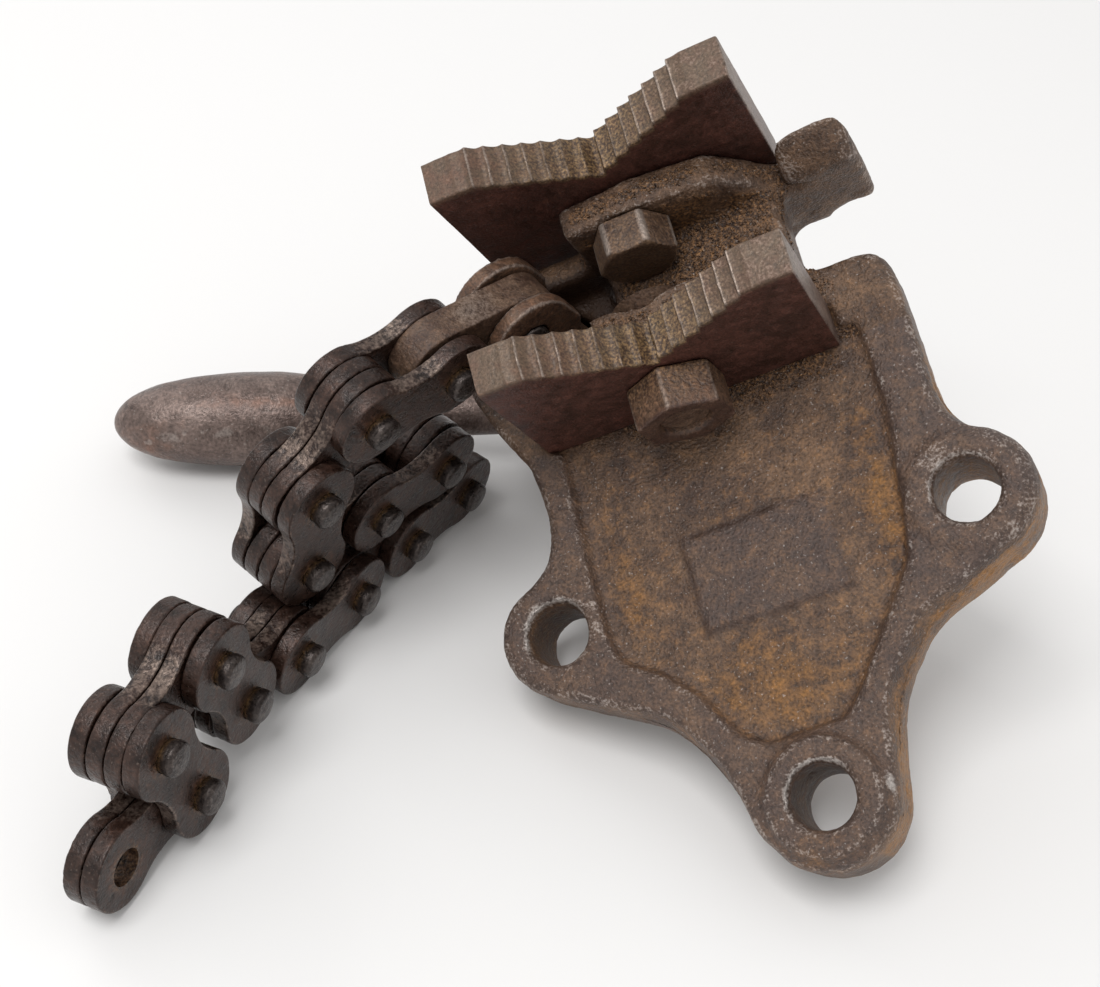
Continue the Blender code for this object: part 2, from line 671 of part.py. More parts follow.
def make_draw_bolt(bolt_frame, shank_length):
    """Makes the draw bolt: a shank that widens into a fork round the first link."""
    turn = Matrix.Rotation(CLEVIS_TURN, 4, "Z")
    side = arc((0.0, 0.0), EYE_RADIUS, 0.0, 180.0, ROUND_STEPS // 2)
    side += [(-EYE_RADIUS, -FORK_SHOULDER), (-SHANK_RADIUS, -FORK_NECK)]
    side += [(SHANK_RADIUS, -FORK_NECK), (EYE_RADIUS, -FORK_SHOULDER)]
    mesh = outline_mesh("draw_bolt", side, EYE_TOTAL / 2)
    bolt = add_object("draw_bolt", mesh, bolt_frame, turn @ Matrix.Rotation(math.radians(90.0), 4, "X"))
    shank = cylinder("shank", SHANK_RADIUS, -shank_length, -(FORK_DEPTH + FORK_NECK) / 2, bolt_frame)
    combine(bolt, shank, "UNION")
    gap_low = (-EYE_RADIUS - OVERRUN, -EYE_GAP / 2, -FORK_DEPTH)
    gap_high = (EYE_RADIUS + OVERRUN, EYE_GAP / 2, OVERRUN)
    combine(bolt, box("fork gap", gap_low, gap_high, bolt_frame, turn), "DIFFERENCE")
    across = turn @ Matrix.Rotation(math.radians(90.0), 4, "X")
    hole = cylinder("fork hole", CLEVIS_PIN_HOLE_RADIUS, -OVERRUN, OVERRUN, bolt_frame, across, HOLE_STEPS)
    combine(bolt, hole, "DIFFERENCE")
    finished(bolt, DARK_STEEL)
    reach = EYE_TOTAL / 2 + CLEVIS_PIN_HEAD
    pin = cylinder("clevis_pin", CLEVIS_PIN_RADIUS, -reach, reach, bolt_frame, across, HOLE_STEPS)
    finished(pin, DARK_STEEL)


def lever_profile():
    """Returns the lever's (radius, height) pairs from its tip down to its root in the hub."""
    tip = LEVER_REACH
    grip = [(radius * GRIP_RADIUS, tip - along * GRIP_LENGTH) for along, radius in GRIP_SHARES]
    neck = [(NECK_RADIUS, tip - GRIP_LENGTH), (NECK_RADIUS, (tip - GRIP_LENGTH + HUB_RADIUS) / 2)]
    root = [(LEVER_ROOT_RADIUS, HUB_RADIUS), (LEVER_ROOT_RADIUS, HUB_RADIUS / 2), (0.0, HUB_RADIUS / 2)]
    return grip + neck + root


def make_lever(nut_frame):
    """Makes the lever nut: a threaded hub and a round handle that swells into a long grip."""
    inner = HUB_RADIUS - HUB_CHAMFER
    profile = (
        (0.0, HUB_TOP),
        (inner, HUB_TOP),
        (HUB_RADIUS, HUB_TOP - HUB_CHAMFER),
        (HUB_RADIUS, -HUB_FOOT + HUB_CHAMFER),
        (inner, -HUB_FOOT),
        (0.0, -HUB_FOOT),
    )
    lever = turned("lever_nut", profile, nut_frame)
    out = Matrix.Rotation(math.radians(90.0) - LEVER_RISE, 4, "Y")
    handle = turned("lever handle", lever_profile(), nut_frame, out)
    combine(lever, handle, "UNION")
    bore = cylinder("nut bore", NUT_BORE_RADIUS, -OVERRUN, OVERRUN, nut_frame)
    combine(lever, bore, "DIFFERENCE")
    return finished(lever, DARK_STEEL)


def link_outline():
    """Returns a chain plate's outline: two round lobes, one pitch apart, with a waist between them."""
    middle = CHAIN_PITCH / 2
    waist_radius = (middle**2 + WAIST_HALF_WIDTH**2 - LOBE_RADIUS**2) / (2 * (LOBE_RADIUS - WAIST_HALF_WIDTH))
    waist_height = waist_radius + WAIST_HALF_WIDTH
    lean = math.degrees(math.atan2(waist_height, middle))
    right = arc((CHAIN_PITCH, 0.0), LOBE_RADIUS, lean - 180.0, 180.0 - lean, 12)
    left = arc((0.0, 0.0), LOBE_RADIUS, lean, 360.0 - lean, 12)
    top = arc((middle, waist_height), waist_radius, lean - 180.0, -lean, 4)[1:-1]
    low = arc((middle, -waist_height), waist_radius, lean, 180.0 - lean, 4)[1:-1]
    return right + [(x, y) for x, y in reversed(top)] + left + [(x, y) for x, y in reversed(low)]


def straight_link_outline():
    """Returns the first link's outline, a plain stadium."""
    right = arc((CHAIN_PITCH, 0.0), LOBE_RADIUS, -90.0, 90.0, CURVE_STEPS)
    return right + arc((0.0, 0.0), LOBE_RADIUS, 90.0, 270.0, CURVE_STEPS)


def link_holes():
    """Returns the two pin holes of a chain plate."""
    return [arc((x, 0.0), CHAIN_HOLE_RADIUS, 0.0, 360.0, HOLE_STEPS)[:-1] for x in (0.0, CHAIN_PITCH)]


def pointing(heading, rise):
    """Returns the direction with a heading and a rise, in degrees, in the table's frame."""
    level = math.cos(math.radians(rise))
    turn = math.radians(heading)
    return Vector((level * math.cos(turn), level * math.sin(turn), math.sin(math.radians(rise))))


def chain_axes(clevis_axis):
    """Returns every link's own axis: the outer links' pins, and the mean of its neighbours for the rest."""
    outer = [pointing(*pair) for pair in OUTER_HEADINGS]
    axes = []
    for index in range(len(LINK_ANGLES)):
        if index % 2:
            axes.append(outer[index // 2])
        elif index == 0:
            axes.append((clevis_axis + outer[0]).normalized())
        elif index == len(LINK_ANGLES) - 1:
            axes.append(outer[-1])
        else:
            axes.append((outer[index // 2 - 1] + outer[index // 2]).normalized())
    return axes


def link_place(start, axis, angle, lands):
    """Returns a link's frame: X towards its next pin, Z along its axis, its origin at its first pin.

    A link that lands is turned in its own plane until its next pin lies on the table.
    """
    level = Vector((0.0, 0.0, 1.0)).cross(axis).normalized()
    upward = axis.cross(level)
    turn = math.radians(angle)
    if lands:
        fall = (LOBE_RADIUS + TABLE_GAP - start.z) / (CHAIN_PITCH * upward.z)
        turn = math.asin(max(-1.0, min(1.0, fall)))
        if math.cos(math.radians(angle)) < 0.0:
            turn = math.pi - turn
    ahead = level * math.cos(turn) + upward * math.sin(turn)
    across = axis.cross(ahead)
    rotation = Matrix((ahead, across, axis)).transposed().to_4x4()
    return Matrix.Translation(start) @ rotation


def make_chain(stand, start, clevis_axis):
    """Lays the chain from the clevis pin: a thick first link, then pairs of plates and their pins."""
    plate = outline_mesh("leaf plate", link_outline(), PLATE_THICKNESS / 2, link_holes())
    first = outline_mesh("first link", straight_link_outline(), FIRST_LINK_THICKNESS / 2, link_holes())
    axes = chain_axes(clevis_axis)
    spacing = PLATE_THICKNESS + PLATE_GAP
    reach = spacing * 1.5 + PLATE_THICKNESS / 2 + PIN_OVERHANG
    inner_radius = CHAIN_PIN_RADIUS - PIN_DOME / 2
    pin_profile = (
        (0.0, reach),
        (inner_radius / 2, reach - PIN_DOME / 4),
        (CHAIN_PIN_RADIUS, reach - PIN_DOME),
        (CHAIN_PIN_RADIUS, -reach + PIN_DOME),
        (inner_radius / 2, -reach + PIN_DOME / 4),
        (0.0, -reach),
    )
    for index, (axis, angle) in enumerate(zip(axes, LINK_ANGLES)):
        place = link_place(start, axis, angle, index in LANDING_LINKS)
        frame = empty("link_%02d_joint" % index, stand, place)
        if index == 0:
            finished(add_object("first_link", first, frame), CHAIN_STEEL)
        else:
            half = spacing * (1.5 if index % 2 else 0.5)
            for side, offset in (("near", half), ("far", -half)):
                name = "link_%02d_%s_plate" % (index, side)
                finished(add_object(name, plate, frame, Matrix.Translation((0.0, 0.0, offset))), CHAIN_STEEL)
        if index % 2:
            for end, along in (("first", 0.0), ("second", CHAIN_PITCH)):
                name = "link_%02d_%s_pin" % (index, end)
                pin = turned(name, pin_profile, frame, Matrix.Translation((along, 0.0, 0.0)), HOLE_STEPS)
                finished(pin, CHAIN_STEEL)
        start = place @ Vector((CHAIN_PITCH, 0.0, 0.0))


def resting_edge():
    """Returns a point on the flange's bottom edge that rests on the table and the level way inwards."""
    across = TOE - LEFT_EAR
    gap = TOE_RADIUS - LEFT_EAR_RADIUS
    heading = math.atan2(across.y, across.x) - math.asin(gap / across.length)
    inward = Vector((-math.sin(heading), math.cos(heading), 0.0))
    point = LEFT_EAR - inward * LEFT_EAR_RADIUS - Vector((0.0, 0.0, FLANGE_THICKNESS))
    return point, inward


def vise_tilt():
    """Returns the turn from the vise's frame to the table's, whose X lies below the vise's own X."""
    inward = resting_edge()[1]
    up = inward * math.sin(TILT) + Vector((0.0, 0.0, math.cos(TILT)))
    ahead = (Vector((1.0, 0.0, 0.0)) - up * up.x).normalized()
    return Matrix((ahead, up.cross(ahead), up))


def place_vise(stand):
    """Adds the tilted vise's empty, with the resting edge at the table's height."""
    tilt = vise_tilt()
    foot = tilt @ resting_edge()[0]
    return empty("vise_tilt", stand, Matrix.Translation((0.0, 0.0, -foot.z)) @ tilt.to_4x4())


def nut_drop(tilt, foot):
    """Returns how far down the draw bolt the nut's middle lies, so that the hub's rim meets the table."""
    down = Vector((math.sin(BOLT_LEAN), 0.0, -math.cos(BOLT_LEAN)))
    pin = Vector((CLEVIS_PIN_X, SLOT_CENTRE_Y, CLEVIS_PIN_Z))
    up = Vector(tilt[2])
    lean = math.acos(-down.dot(up))
    rim = (HUB_RADIUS - HUB_CHAMFER) * math.sin(lean) + HUB_FOOT * math.cos(lean)
    side = HUB_RADIUS * math.sin(lean) + (HUB_FOOT - HUB_CHAMFER) * math.cos(lean)
    height = max(rim, side) + TABLE_GAP
    return ((pin - foot).dot(up) - height) / -down.dot(up)


def settle(stand):
    """Moves everything so that the origin lies under the middle of the whole, on the table."""
    bpy.context.view_layer.update()
    graph = bpy.context.evaluated_depsgraph_get()
    corners = []
    for item in collection("Pipe vise").objects:
        if item.type == "MESH":
            shape = item.evaluated_get(graph)
            corners += [shape.matrix_world @ vertex.co for vertex in shape.data.vertices]
    low = Vector(min(corner[axis] for corner in corners) for axis in range(3))
    high = Vector(max(corner[axis] for corner in corners) for axis in range(3))
    middle = (low + high) / 2
    stand.location = (-middle.x, -middle.y, -low.z)


def main():
    """Builds the whole vise."""
    start_scene()
    stand = empty("stand")
    vise = place_vise(stand)
    bpy.context.view_layer.update()
    tilt = vise_tilt()
    drop = nut_drop(tilt, resting_edge()[0])
    pin = Matrix.Translation((CLEVIS_PIN_X, SLOT_CENTRE_Y, CLEVIS_PIN_Z))
    bolt_frame = empty("draw_bolt_axis", vise, pin @ Matrix.Rotation(-BOLT_LEAN, 4, "Y"))
    swing = Matrix.Rotation(LEVER_SWING, 4, "Z")
    nut_frame = empty("lever_nut_joint", bolt_frame, Matrix.Translation((0.0, 0.0, -drop)) @ swing)
    seat_drop = drop - HUB_TOP - SEAT_GAP
    make_casting(vise, bolt_frame, seat_drop)
    near_jaw_y = NEAR_WALL_Y - SEAT_GAP - JAW_THICKNESS
    make_jaw("near_jaw", near_jaw_y, NEAR_JAW_FOOT, vise)
    make_jaw("far_jaw", FAR_WALL_Y + SEAT_GAP, FAR_JAW_FOOT, vise)
    make_jaw_fastenings(vise)
    make_draw_bolt(bolt_frame, drop + HUB_FOOT / 2)
    make_lever(nut_frame)
    bpy.context.view_layer.update()
    clevis_frame = bolt_frame.matrix_world @ Matrix.Rotation(CLEVIS_TURN, 4, "Z")
    near_end = (clevis_frame.to_3x3() @ Vector((0.0, -1.0, 0.0))).normalized()
    make_chain(stand, clevis_frame.to_translation(), near_end)
    settle(stand)


main()
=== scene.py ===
"""Looks of an old bench chain pipe vise, lying tilted on a pale table with its chain piled beside it.

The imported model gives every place. The casting, the draw bolt and the lever are closed shells that are
remeshed fine and weathered point by point, and the jaws, nuts, chain plates and pins are surfaces of two
parameters. Every length here is in metres, apart from those of the casting's bends and spots. The vise's
own frame has its origin between the two ear holes on top of the flange, +X along the jaws, +Y away from
the toe and +Z out of the flange.
"""

import json
import logging
import math
from dataclasses import dataclass, field
from enum import Enum
from functools import partial

import bmesh
import bpy
import numpy as np
from mathutils import Matrix, Vector


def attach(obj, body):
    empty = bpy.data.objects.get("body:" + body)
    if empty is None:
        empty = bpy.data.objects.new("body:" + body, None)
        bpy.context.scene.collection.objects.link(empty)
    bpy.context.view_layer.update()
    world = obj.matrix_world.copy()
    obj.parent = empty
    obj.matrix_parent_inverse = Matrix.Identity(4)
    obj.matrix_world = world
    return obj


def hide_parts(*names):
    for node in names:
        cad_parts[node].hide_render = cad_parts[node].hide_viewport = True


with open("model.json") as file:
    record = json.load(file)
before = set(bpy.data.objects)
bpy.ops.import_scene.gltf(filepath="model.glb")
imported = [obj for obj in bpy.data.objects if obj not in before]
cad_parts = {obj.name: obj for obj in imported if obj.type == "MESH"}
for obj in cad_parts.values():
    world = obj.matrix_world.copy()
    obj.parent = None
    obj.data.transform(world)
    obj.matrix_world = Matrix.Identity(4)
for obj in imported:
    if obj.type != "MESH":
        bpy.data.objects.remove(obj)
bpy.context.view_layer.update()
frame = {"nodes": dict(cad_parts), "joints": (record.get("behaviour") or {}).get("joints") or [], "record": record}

MM = 0.001
WELD = 0.002 * MM
ROUND = 2.0 * math.pi
# Both jaw bolts stand this far along and above the vise's own frame
JAW_BOLT = (-3.6 * MM, 13.5 * MM)
# The angles in degrees above which an edge stays sharp, on skins, chain pieces, hexagons and jaws
SKIN_CREASE, CHAIN_CREASE, HEXAGON_CREASE, JAW_CREASE = 80.0, 60.0, 40.0, 35.0
CHAMFER = math.radians(30.0)

Socket = bpy.types.NodeSocket

log = logging.getLogger("pipe_vise")


class Slot(Enum):
    """The record's material slots."""

    CAST_IRON = "cast_iron"
    JAW_STEEL = "jaw_steel"
    DARK_STEEL = "dark_steel"
    CHAIN_STEEL = "chain_steel"


class Layer(Enum):
    """The painted point attributes that the finishes read."""

    # Rubbed bare metal, and painted highlights on rims, edges, jaw tops and the lever's grip
    WEAR_AND_HIGHLIGHT = "wear"
    DIRT = "dirt"
    OCHRE = "ochre"
    GRIME = "grime"
    # Cracks, painted shade in the slot's hollow, and darkened nut and bolt faces
    CRACK_AND_SHADE = "crack"


def linear(colour: str) -> tuple[float, float, float, float]:
    """Turns an sRGB hex colour into the linear one that a shader takes.

    Args:
        colour: six hex digits after a hash sign.

    Returns:
        Linear red, green, blue and a full alpha.
    """
    channels = [int(colour[start:start + 2], 16) / 255.0 for start in (1, 3, 5)]
    straight = [c / 12.92 if c <= 0.04045 else ((c + 0.055) / 1.055) ** 2.4 for c in channels]
    return (*straight, 1.0)


def smooth_step(low: float, high: float, values: np.ndarray) -> np.ndarray:
    """Returns 0 below low, 1 above high and the cubic ease between them."""
    part = np.clip((values - low) / (high - low), 0.0, 1.0)
    return part * part * (3.0 - 2.0 * part)


def bell(values: np.ndarray, reach: float) -> np.ndarray:
    """Returns e to the minus square of values over reach: 1 in the middle, and a third at the reach."""
    return np.exp(-((values / reach) ** 2))


def within(low: float, values: np.ndarray, high: float) -> np.ndarray:
    """Returns whether each value lies between two bounds."""
    return (values > low) & (values < high)


@dataclass(frozen=True)
class Noise:
    """Fractal value noise over space.

    Attributes:
        cell: size of the coarsest lattice cell.
        octaves: number of layers, each with half the cell and half the height of the one before.
        seed: picks the random corner values.
    """

    cell: float
    octaves: int
    seed: int

    def __call__(self, points: np.ndarray) -> np.ndarray:
        """Sums the octaves at each point, scaled so that the whole stays within -1 to 1.

        Args:
            points: one point a row.

        Returns:
            One value for each point.
        """
        total = np.zeros(len(points))
        for octave in range(self.octaves):
            scaled = points / (self.cell / 2.0**octave)
            total += self.lattice(scaled, self.seed + 31 * octave) / 2.0**octave
        return total / (2.0 - 2.0 ** (1 - self.octaves))

    @staticmethod
    def lattice(points: np.ndarray, seed: int) -> np.ndarray:
        """Blends the hashed values of the eight corners of each point's unit cell.

        The weight of a corner is the product, over the three axes, of the cubic ease of the point's place
        in its cell or of one minus it. The hash mixes the cell's numbers by large odd factors.

        Args:
            points: one point a row, in cells.
            seed: picks the random corner values.

        Returns:
            One value between -1 and 1 for each point.
        """
        base = np.floor(points).astype(np.int64)
        part = points - base
        ease = part * part * (3.0 - 2.0 * part)
        total = np.zeros(len(points))
        for corner in np.ndindex(2, 2, 2):
            cell = base + corner
            weight = np.prod(np.where(corner, ease, 1.0 - ease), axis=1)
            key = (cell[:, 0] * 73856093) ^ (cell[:, 1] * 19349663) ^ (cell[:, 2] * 83492791)
            key = (key ^ (seed * 2654435761)) & 0xFFFFFFFF
            for shift, factor in ((13, 1274126177), (16, 2246822519)):
                key = ((key ^ (key >> shift)) * factor) & 0xFFFFFFFF
            total += weight * ((key ^ (key >> 15)) / 2147483647.5 - 1.0)
        return total


@dataclass(frozen=True)
class Spot:
    """A soft oval seen along the vise's Z: its middle, its reach to both sides and its middle's value.

    All but the value are in millimetres.
    """

    x: float
    y: float
    wide: float
    deep: float
    full: float

    def __call__(self, local: np.ndarray) -> np.ndarray:
        """Returns the product of two bell curves, along and across, times the middle's value."""
        along = bell(local[:, 0] - self.x * MM, self.wide * MM)
        return along * bell(local[:, 1] - self.y * MM, self.deep * MM) * self.full


@dataclass(frozen=True)
class Frame:
    """A place in the world: an origin and three unit axes as the columns of a matrix."""

    origin: np.ndarray
    axes: np.ndarray

    def to_world(self, points: np.ndarray) -> np.ndarray:
        """Turns points of this frame into world points."""
        return self.origin + points @ self.axes.T

    def to_local(self, points: np.ndarray) -> np.ndarray:
        """Turns world points into points of this frame."""
        return (points - self.origin) @ self.axes

    def placed(self, point: tuple, order: list[int], signs: tuple = (1.0, 1.0, 1.0)) -> "Frame":
        """Returns the frame at a point of this one that has its axes in an order and with signs."""
        return Frame(self.to_world(np.array(point)), self.axes[:, order] * np.array(signs))


def node_points(name: str) -> np.ndarray:
    """Returns the world corners of a CAD node."""
    return mesh_points(frame["nodes"][name].data)


def vise_frame(seat_inset: float = 12.0 * MM, flange: float = 22.0 * MM) -> Frame:
    """Finds the vise's own frame from the mounts on the flange.

    Args:
        seat_inset: how far the two bench seats lie behind the line of the ear holes.
        flange: the flange's thickness, from the bench seats up to its top.

    Returns:
        The frame between the two ear holes on top of the flange.
    """
    mounts = {mount["name"]: mount for mount in frame["record"]["mounts"]}
    left, right = (np.array(mounts["bench_seat_" + side]["pos_m"]) for side in ("left", "right"))
    up = np.array(mounts["bolt_head_seat_left"]["axis"])
    ahead = right - left
    ahead -= up * ahead.dot(up)
    ahead /= np.linalg.norm(ahead)
    across = np.cross(up, ahead)
    origin = (left + right) / 2.0 - across * seat_inset + up * flange
    return Frame(origin, np.stack((ahead, across, up), axis=1))


def own_frame(name: str) -> Frame:
    """Finds a symmetric node's own frame: X along its longest axis, Z along its thinnest.

    The axes are those of the covariance of its distinct corners, which a symmetric piece's planes of
    symmetry fix, and the origin is the mean of those corners.

    Args:
        name: the CAD node.

    Returns:
        The node's frame.
    """
    points = np.unique(np.round(node_points(name), 7), axis=0)
    centre = points.mean(axis=0)
    axes = np.linalg.eigh(np.cov((points - centre).T))[1][:, ::-1]
    axes[:, 2] = np.cross(axes[:, 0], axes[:, 1])
    return Frame(centre, axes)


@dataclass
class Surface:
    """A quad surface with painted layers, before it becomes a mesh."""

    points: np.ndarray
    faces: np.ndarray
    layers: dict[Layer, np.ndarray] = field(default_factory=dict)

    def moved(self, place: Frame) -> "Surface":
        """Returns the surface with its points turned from a frame into the world."""
        return Surface(place.to_world(self.points), self.faces, self.layers)

    def plus(self, other: "Surface") -> "Surface":
        """Returns both surfaces as one, unpainted."""
        faces = np.concatenate((self.faces, other.faces + len(self.points)))
        return Surface(np.concatenate((self.points, other.points)), faces)


def grid_faces(rows: int, columns: int, round_rows: bool, round_columns: bool) -> np.ndarray:
    """Returns the quads of a grid of points, numbered row by row.

    Args:
        rows: number of rows of points.
        columns: number of points in a row.
        round_rows: whether the last row joins the first.
        round_columns: whether each row's last point joins its first.

    Returns:
        One row of four point numbers for each quad.
    """
    row = np.arange(rows if round_rows else rows - 1)[:, None]
    column = np.arange(columns if round_columns else columns - 1)[None, :]
    next_row, next_column = (row + 1) % rows, (column + 1) % columns
    corners = ((row, column), (next_row, column), (next_row, next_column), (row, next_column))
    return np.stack([(r * columns + c).ravel() for r, c in corners], axis=1)


def softened(control: np.ndarray, reach: float, closed: bool) -> np.ndarray:
    """Rounds the corners of profiles by cutting each corner with three points of a parabola.

    The two outer points lie at most the reach, and at most a third of the side, away from the corner, and
    the middle one is a quarter of each outer point and half the corner.

    Args:
        control: corners, as an array whose last two axes are the corner's number and its two coordinates.
        reach: how far from a corner its rounding starts.
        closed: whether the last corner joins the first.

    Returns:
        The rounded profiles, with the ends of an open one kept.
    """
    sides = []
    for step in (1, -1):
        side = np.roll(control, step, axis=-2) - control
        length = np.linalg.norm(side, axis=-1, keepdims=True)
        sides.append(control + side * np.minimum(reach / np.maximum(length, WELD), 1.0 / 3.0))
    middle = sides[0] / 4.0 + control / 2.0 + sides[1] / 4.0
    shape = (*control.shape[:-2], control.shape[-2] * 3, 2)
    rounded = np.stack((sides[0], middle, sides[1]), axis=-2).reshape(shape)
    if closed:
        return rounded
    ends = (control[..., :1, :], rounded[..., 3:-3, :], control[..., -1:, :])
    return np.concatenate(ends, axis=-2)


def turned(profile: np.ndarray, steps: int, closed: bool) -> Surface:
    """Carries a profile round local Z: a point is (radius cos a, radius sin a, height).

    Args:
        profile: (radius, height) pairs, one profile for all turns or one for each.
        steps: number of turns.
        closed: whether the profile's last point joins its first, as on a ring.

    Returns:
        The turned surface in its own frame.
    """
    angle = np.arange(steps)[:, None] * (ROUND / steps)
    profile = np.broadcast_to(profile, (steps, *profile.shape[-2:]))
    radius, height = profile[..., 0], profile[..., 1]
    points = np.stack((radius * np.cos(angle), radius * np.sin(angle), height), axis=-1)
    faces = grid_faces(steps, profile.shape[1], True, closed)
    return Surface(points.reshape(-1, 3), faces)


@dataclass(frozen=True)
class Hexagon:
    """A hexagon with worn corners, as a radius at each of a turn's steps.

    Attributes:
        across_flats: its width.
        corner: the angle of one of its corners.
        sharpness: how sharp the corners are.
        steps: number of steps in a turn.
    """

    across_flats: float
    corner: float
    sharpness: float
    steps: int = 144

    def radius(self) -> np.ndarray:
        """Returns the radius at each step.

        It is one over the sharpness-norm of the six flats' own one-over-radius, cosine of the angle to a
        flat over half the width across flats, which rounds the corners where two flats are equally near.
        """
        angle = np.arange(self.steps) * (ROUND / self.steps)
        flats = self.corner + math.pi / 6.0 + np.arange(6) * (math.pi / 3.0)
        near = np.maximum(np.cos(angle[:, None] - flats[None, :]), 0.0) / (self.across_flats / 2.0)
        return ((near / near.max()) ** self.sharpness).sum(axis=1) ** (-1.0 / self.sharpness) / near.max()

    def carried(self, corners: tuple, reach: float, closed: bool) -> Surface:
        """Carries rounded (radius, height) corners round, each a number or one value for each step."""
        pairs = [np.stack(np.broadcast_arrays(r, h, self.radius())[:2], axis=-1) for r, h in corners]
        return turned(softened(np.stack(pairs, axis=1), reach, closed), self.steps, closed)


def new_mesh(name: str, surface: Surface) -> bpy.types.Mesh:
    """Makes a closed mesh from a surface: seams and poles are merged and the faces point outwards.

    Args:
        name: the mesh's name.
        surface: its points, faces and layers, in the world.

    Returns:
        The new mesh.
    """
    mesh = bpy.data.meshes.new(name)
    mesh.from_pydata(surface.points.tolist(), [], surface.faces.tolist())
    paint(mesh, surface.layers)
    shell = bmesh.new()
    shell.from_mesh(mesh)
    bmesh.ops.remove_doubles(shell, verts=shell.verts, dist=WELD)
    bmesh.ops.recalc_face_normals(shell, faces=shell.faces)
    shell.to_mesh(mesh)
    shell.free()
    return mesh


def mesh_points(mesh: bpy.types.Mesh) -> np.ndarray:
    """Returns a mesh's points."""
    points = np.empty(len(mesh.vertices) * 3, np.float32)
    mesh.vertices.foreach_get("co", points)
    return points.reshape(-1, 3).astype(float)


def mesh_normals(mesh: bpy.types.Mesh) -> np.ndarray:
    """Returns the normals at a mesh's points."""
    normals = np.empty(len(mesh.vertices) * 3, np.float32)
    mesh.vertex_normals.foreach_get("vector", normals)
    return normals.reshape(-1, 3).astype(float)


def set_points(mesh: bpy.types.Mesh, points: np.ndarray) -> None:
    """Writes a mesh's points."""
    mesh.vertices.foreach_set("co", points.astype(np.float32).ravel())
    mesh.update()


def push(mesh: bpy.types.Mesh, height: np.ndarray) -> None:
    """Moves each point of a mesh along its normal by a height of its own."""
    set_points(mesh, mesh_points(mesh) + mesh_normals(mesh) * height[:, None])


def paint(mesh: bpy.types.Mesh, layers: dict[Layer, np.ndarray]) -> None:
    """Writes painted layers of a mesh, held between 0 and 1."""
    for layer, values in layers.items():
        painted = mesh.attributes.new(layer.value, "FLOAT", "POINT")
        painted.data.foreach_set("value", np.clip(values, 0.0, 1.0).astype(np.float32))


def relaxed(mesh: bpy.types.Mesh, points: np.ndarray, rounds: int, share: float) -> np.ndarray:
    """Moves each point towards the mean of its neighbours, a few times over.

    Args:
        mesh: the mesh whose edges say which points are neighbours.
        points: the points to start from.
        rounds: how many times.
        share: how much of the way to the mean each time.

    Returns:
        The smoothed points.
    """
    ends = np.empty(len(mesh.edges) * 2, np.int32)
    mesh.edges.foreach_get("vertices", ends)
    first, second = ends[0::2], ends[1::2]
    size = len(points)
    count = np.bincount(ends, minlength=size)[:, None]
    for _ in range(rounds):
        total = [np.bincount(first, axis[second], size) + np.bincount(second, axis[first], size)
                 for axis in points.T]
        points = points + (np.stack(total, axis=1) / count - points) * share
    return points


def linked(name: str, data: bpy.types.ID) -> bpy.types.Object:
    """Makes an object of a mesh, lamp or camera and links it to the scene."""
    made = bpy.data.objects.new(name, data)
    bpy.context.scene.collection.objects.link(made)
    return made


def applied(holder: bpy.types.Object) -> bpy.types.Mesh:
    """Returns the mesh that an object's modifiers make of its own, and removes the object."""
    made = bpy.data.meshes.new_from_object(holder.evaluated_get(bpy.context.evaluated_depsgraph_get()))
    bpy.data.objects.remove(holder, do_unlink=True)
    return made


def fine_copy(name: str, source: bpy.types.Mesh, voxel: float, rounds: int) -> bpy.types.Mesh:
    """Makes one even, closed skin of a shell, as fine as a voxel, with its corners worn round.

    Args:
        name: the new mesh's name.
        source: the shell, whose doubles are merged first.
        voxel: size of a cell.
        rounds: rounds of smoothing, half of the way each.

    Returns:
        The new mesh.
    """
    mesh = source.copy()
    shell = bmesh.new()
    shell.from_mesh(mesh)
    bmesh.ops.remove_doubles(shell, verts=shell.verts, dist=WELD)
    shell.to_mesh(mesh)
    shell.free()
    holder = linked(name + "_shell", mesh)
    remesh = holder.modifiers.new("Even skin", "REMESH")
    remesh.mode = "VOXEL"
    remesh.voxel_size = voxel
    made = applied(holder)
    made.name = name
    set_points(made, relaxed(made, mesh_points(made), rounds, share=0.5))
    return made


def drilled(mesh: bpy.types.Mesh, place: Frame, radius: float, length: float) -> bpy.types.Mesh:
    """Makes a copy of a closed mesh with a round hole through it.

    Args:
        mesh: the closed mesh.
        place: the hole's frame, with its middle at the origin and its axis along Z.
        radius: the hole's radius.
        length: the drill's length.

    Returns:
        The drilled mesh, with its painted layers kept.
    """
    half = length / 2.0
    profile = np.array(((0.0, -half), (radius, -half), (radius, half), (0.0, half)))
    holder = linked(mesh.name + "_blank", mesh)
    drill = linked("drill", new_mesh("drill", turned(profile, steps=64, closed=False).moved(place)))
    cut = holder.modifiers.new("Hole", "BOOLEAN")
    cut.operation = "DIFFERENCE"
    cut.solver = "EXACT"
    cut.object = drill
    made = applied(holder)
    bpy.data.objects.remove(drill, do_unlink=True)
    return made


def proudness(mesh: bpy.types.Mesh, points: np.ndarray, rounds: int, full: float) -> np.ndarray:
    """Returns how far a mesh stands proud of its own smoothed shape, as a share of a full height."""
    proud = points - relaxed(mesh, points, rounds, share=0.6)
    return (proud * mesh_normals(mesh)).sum(axis=1) / full


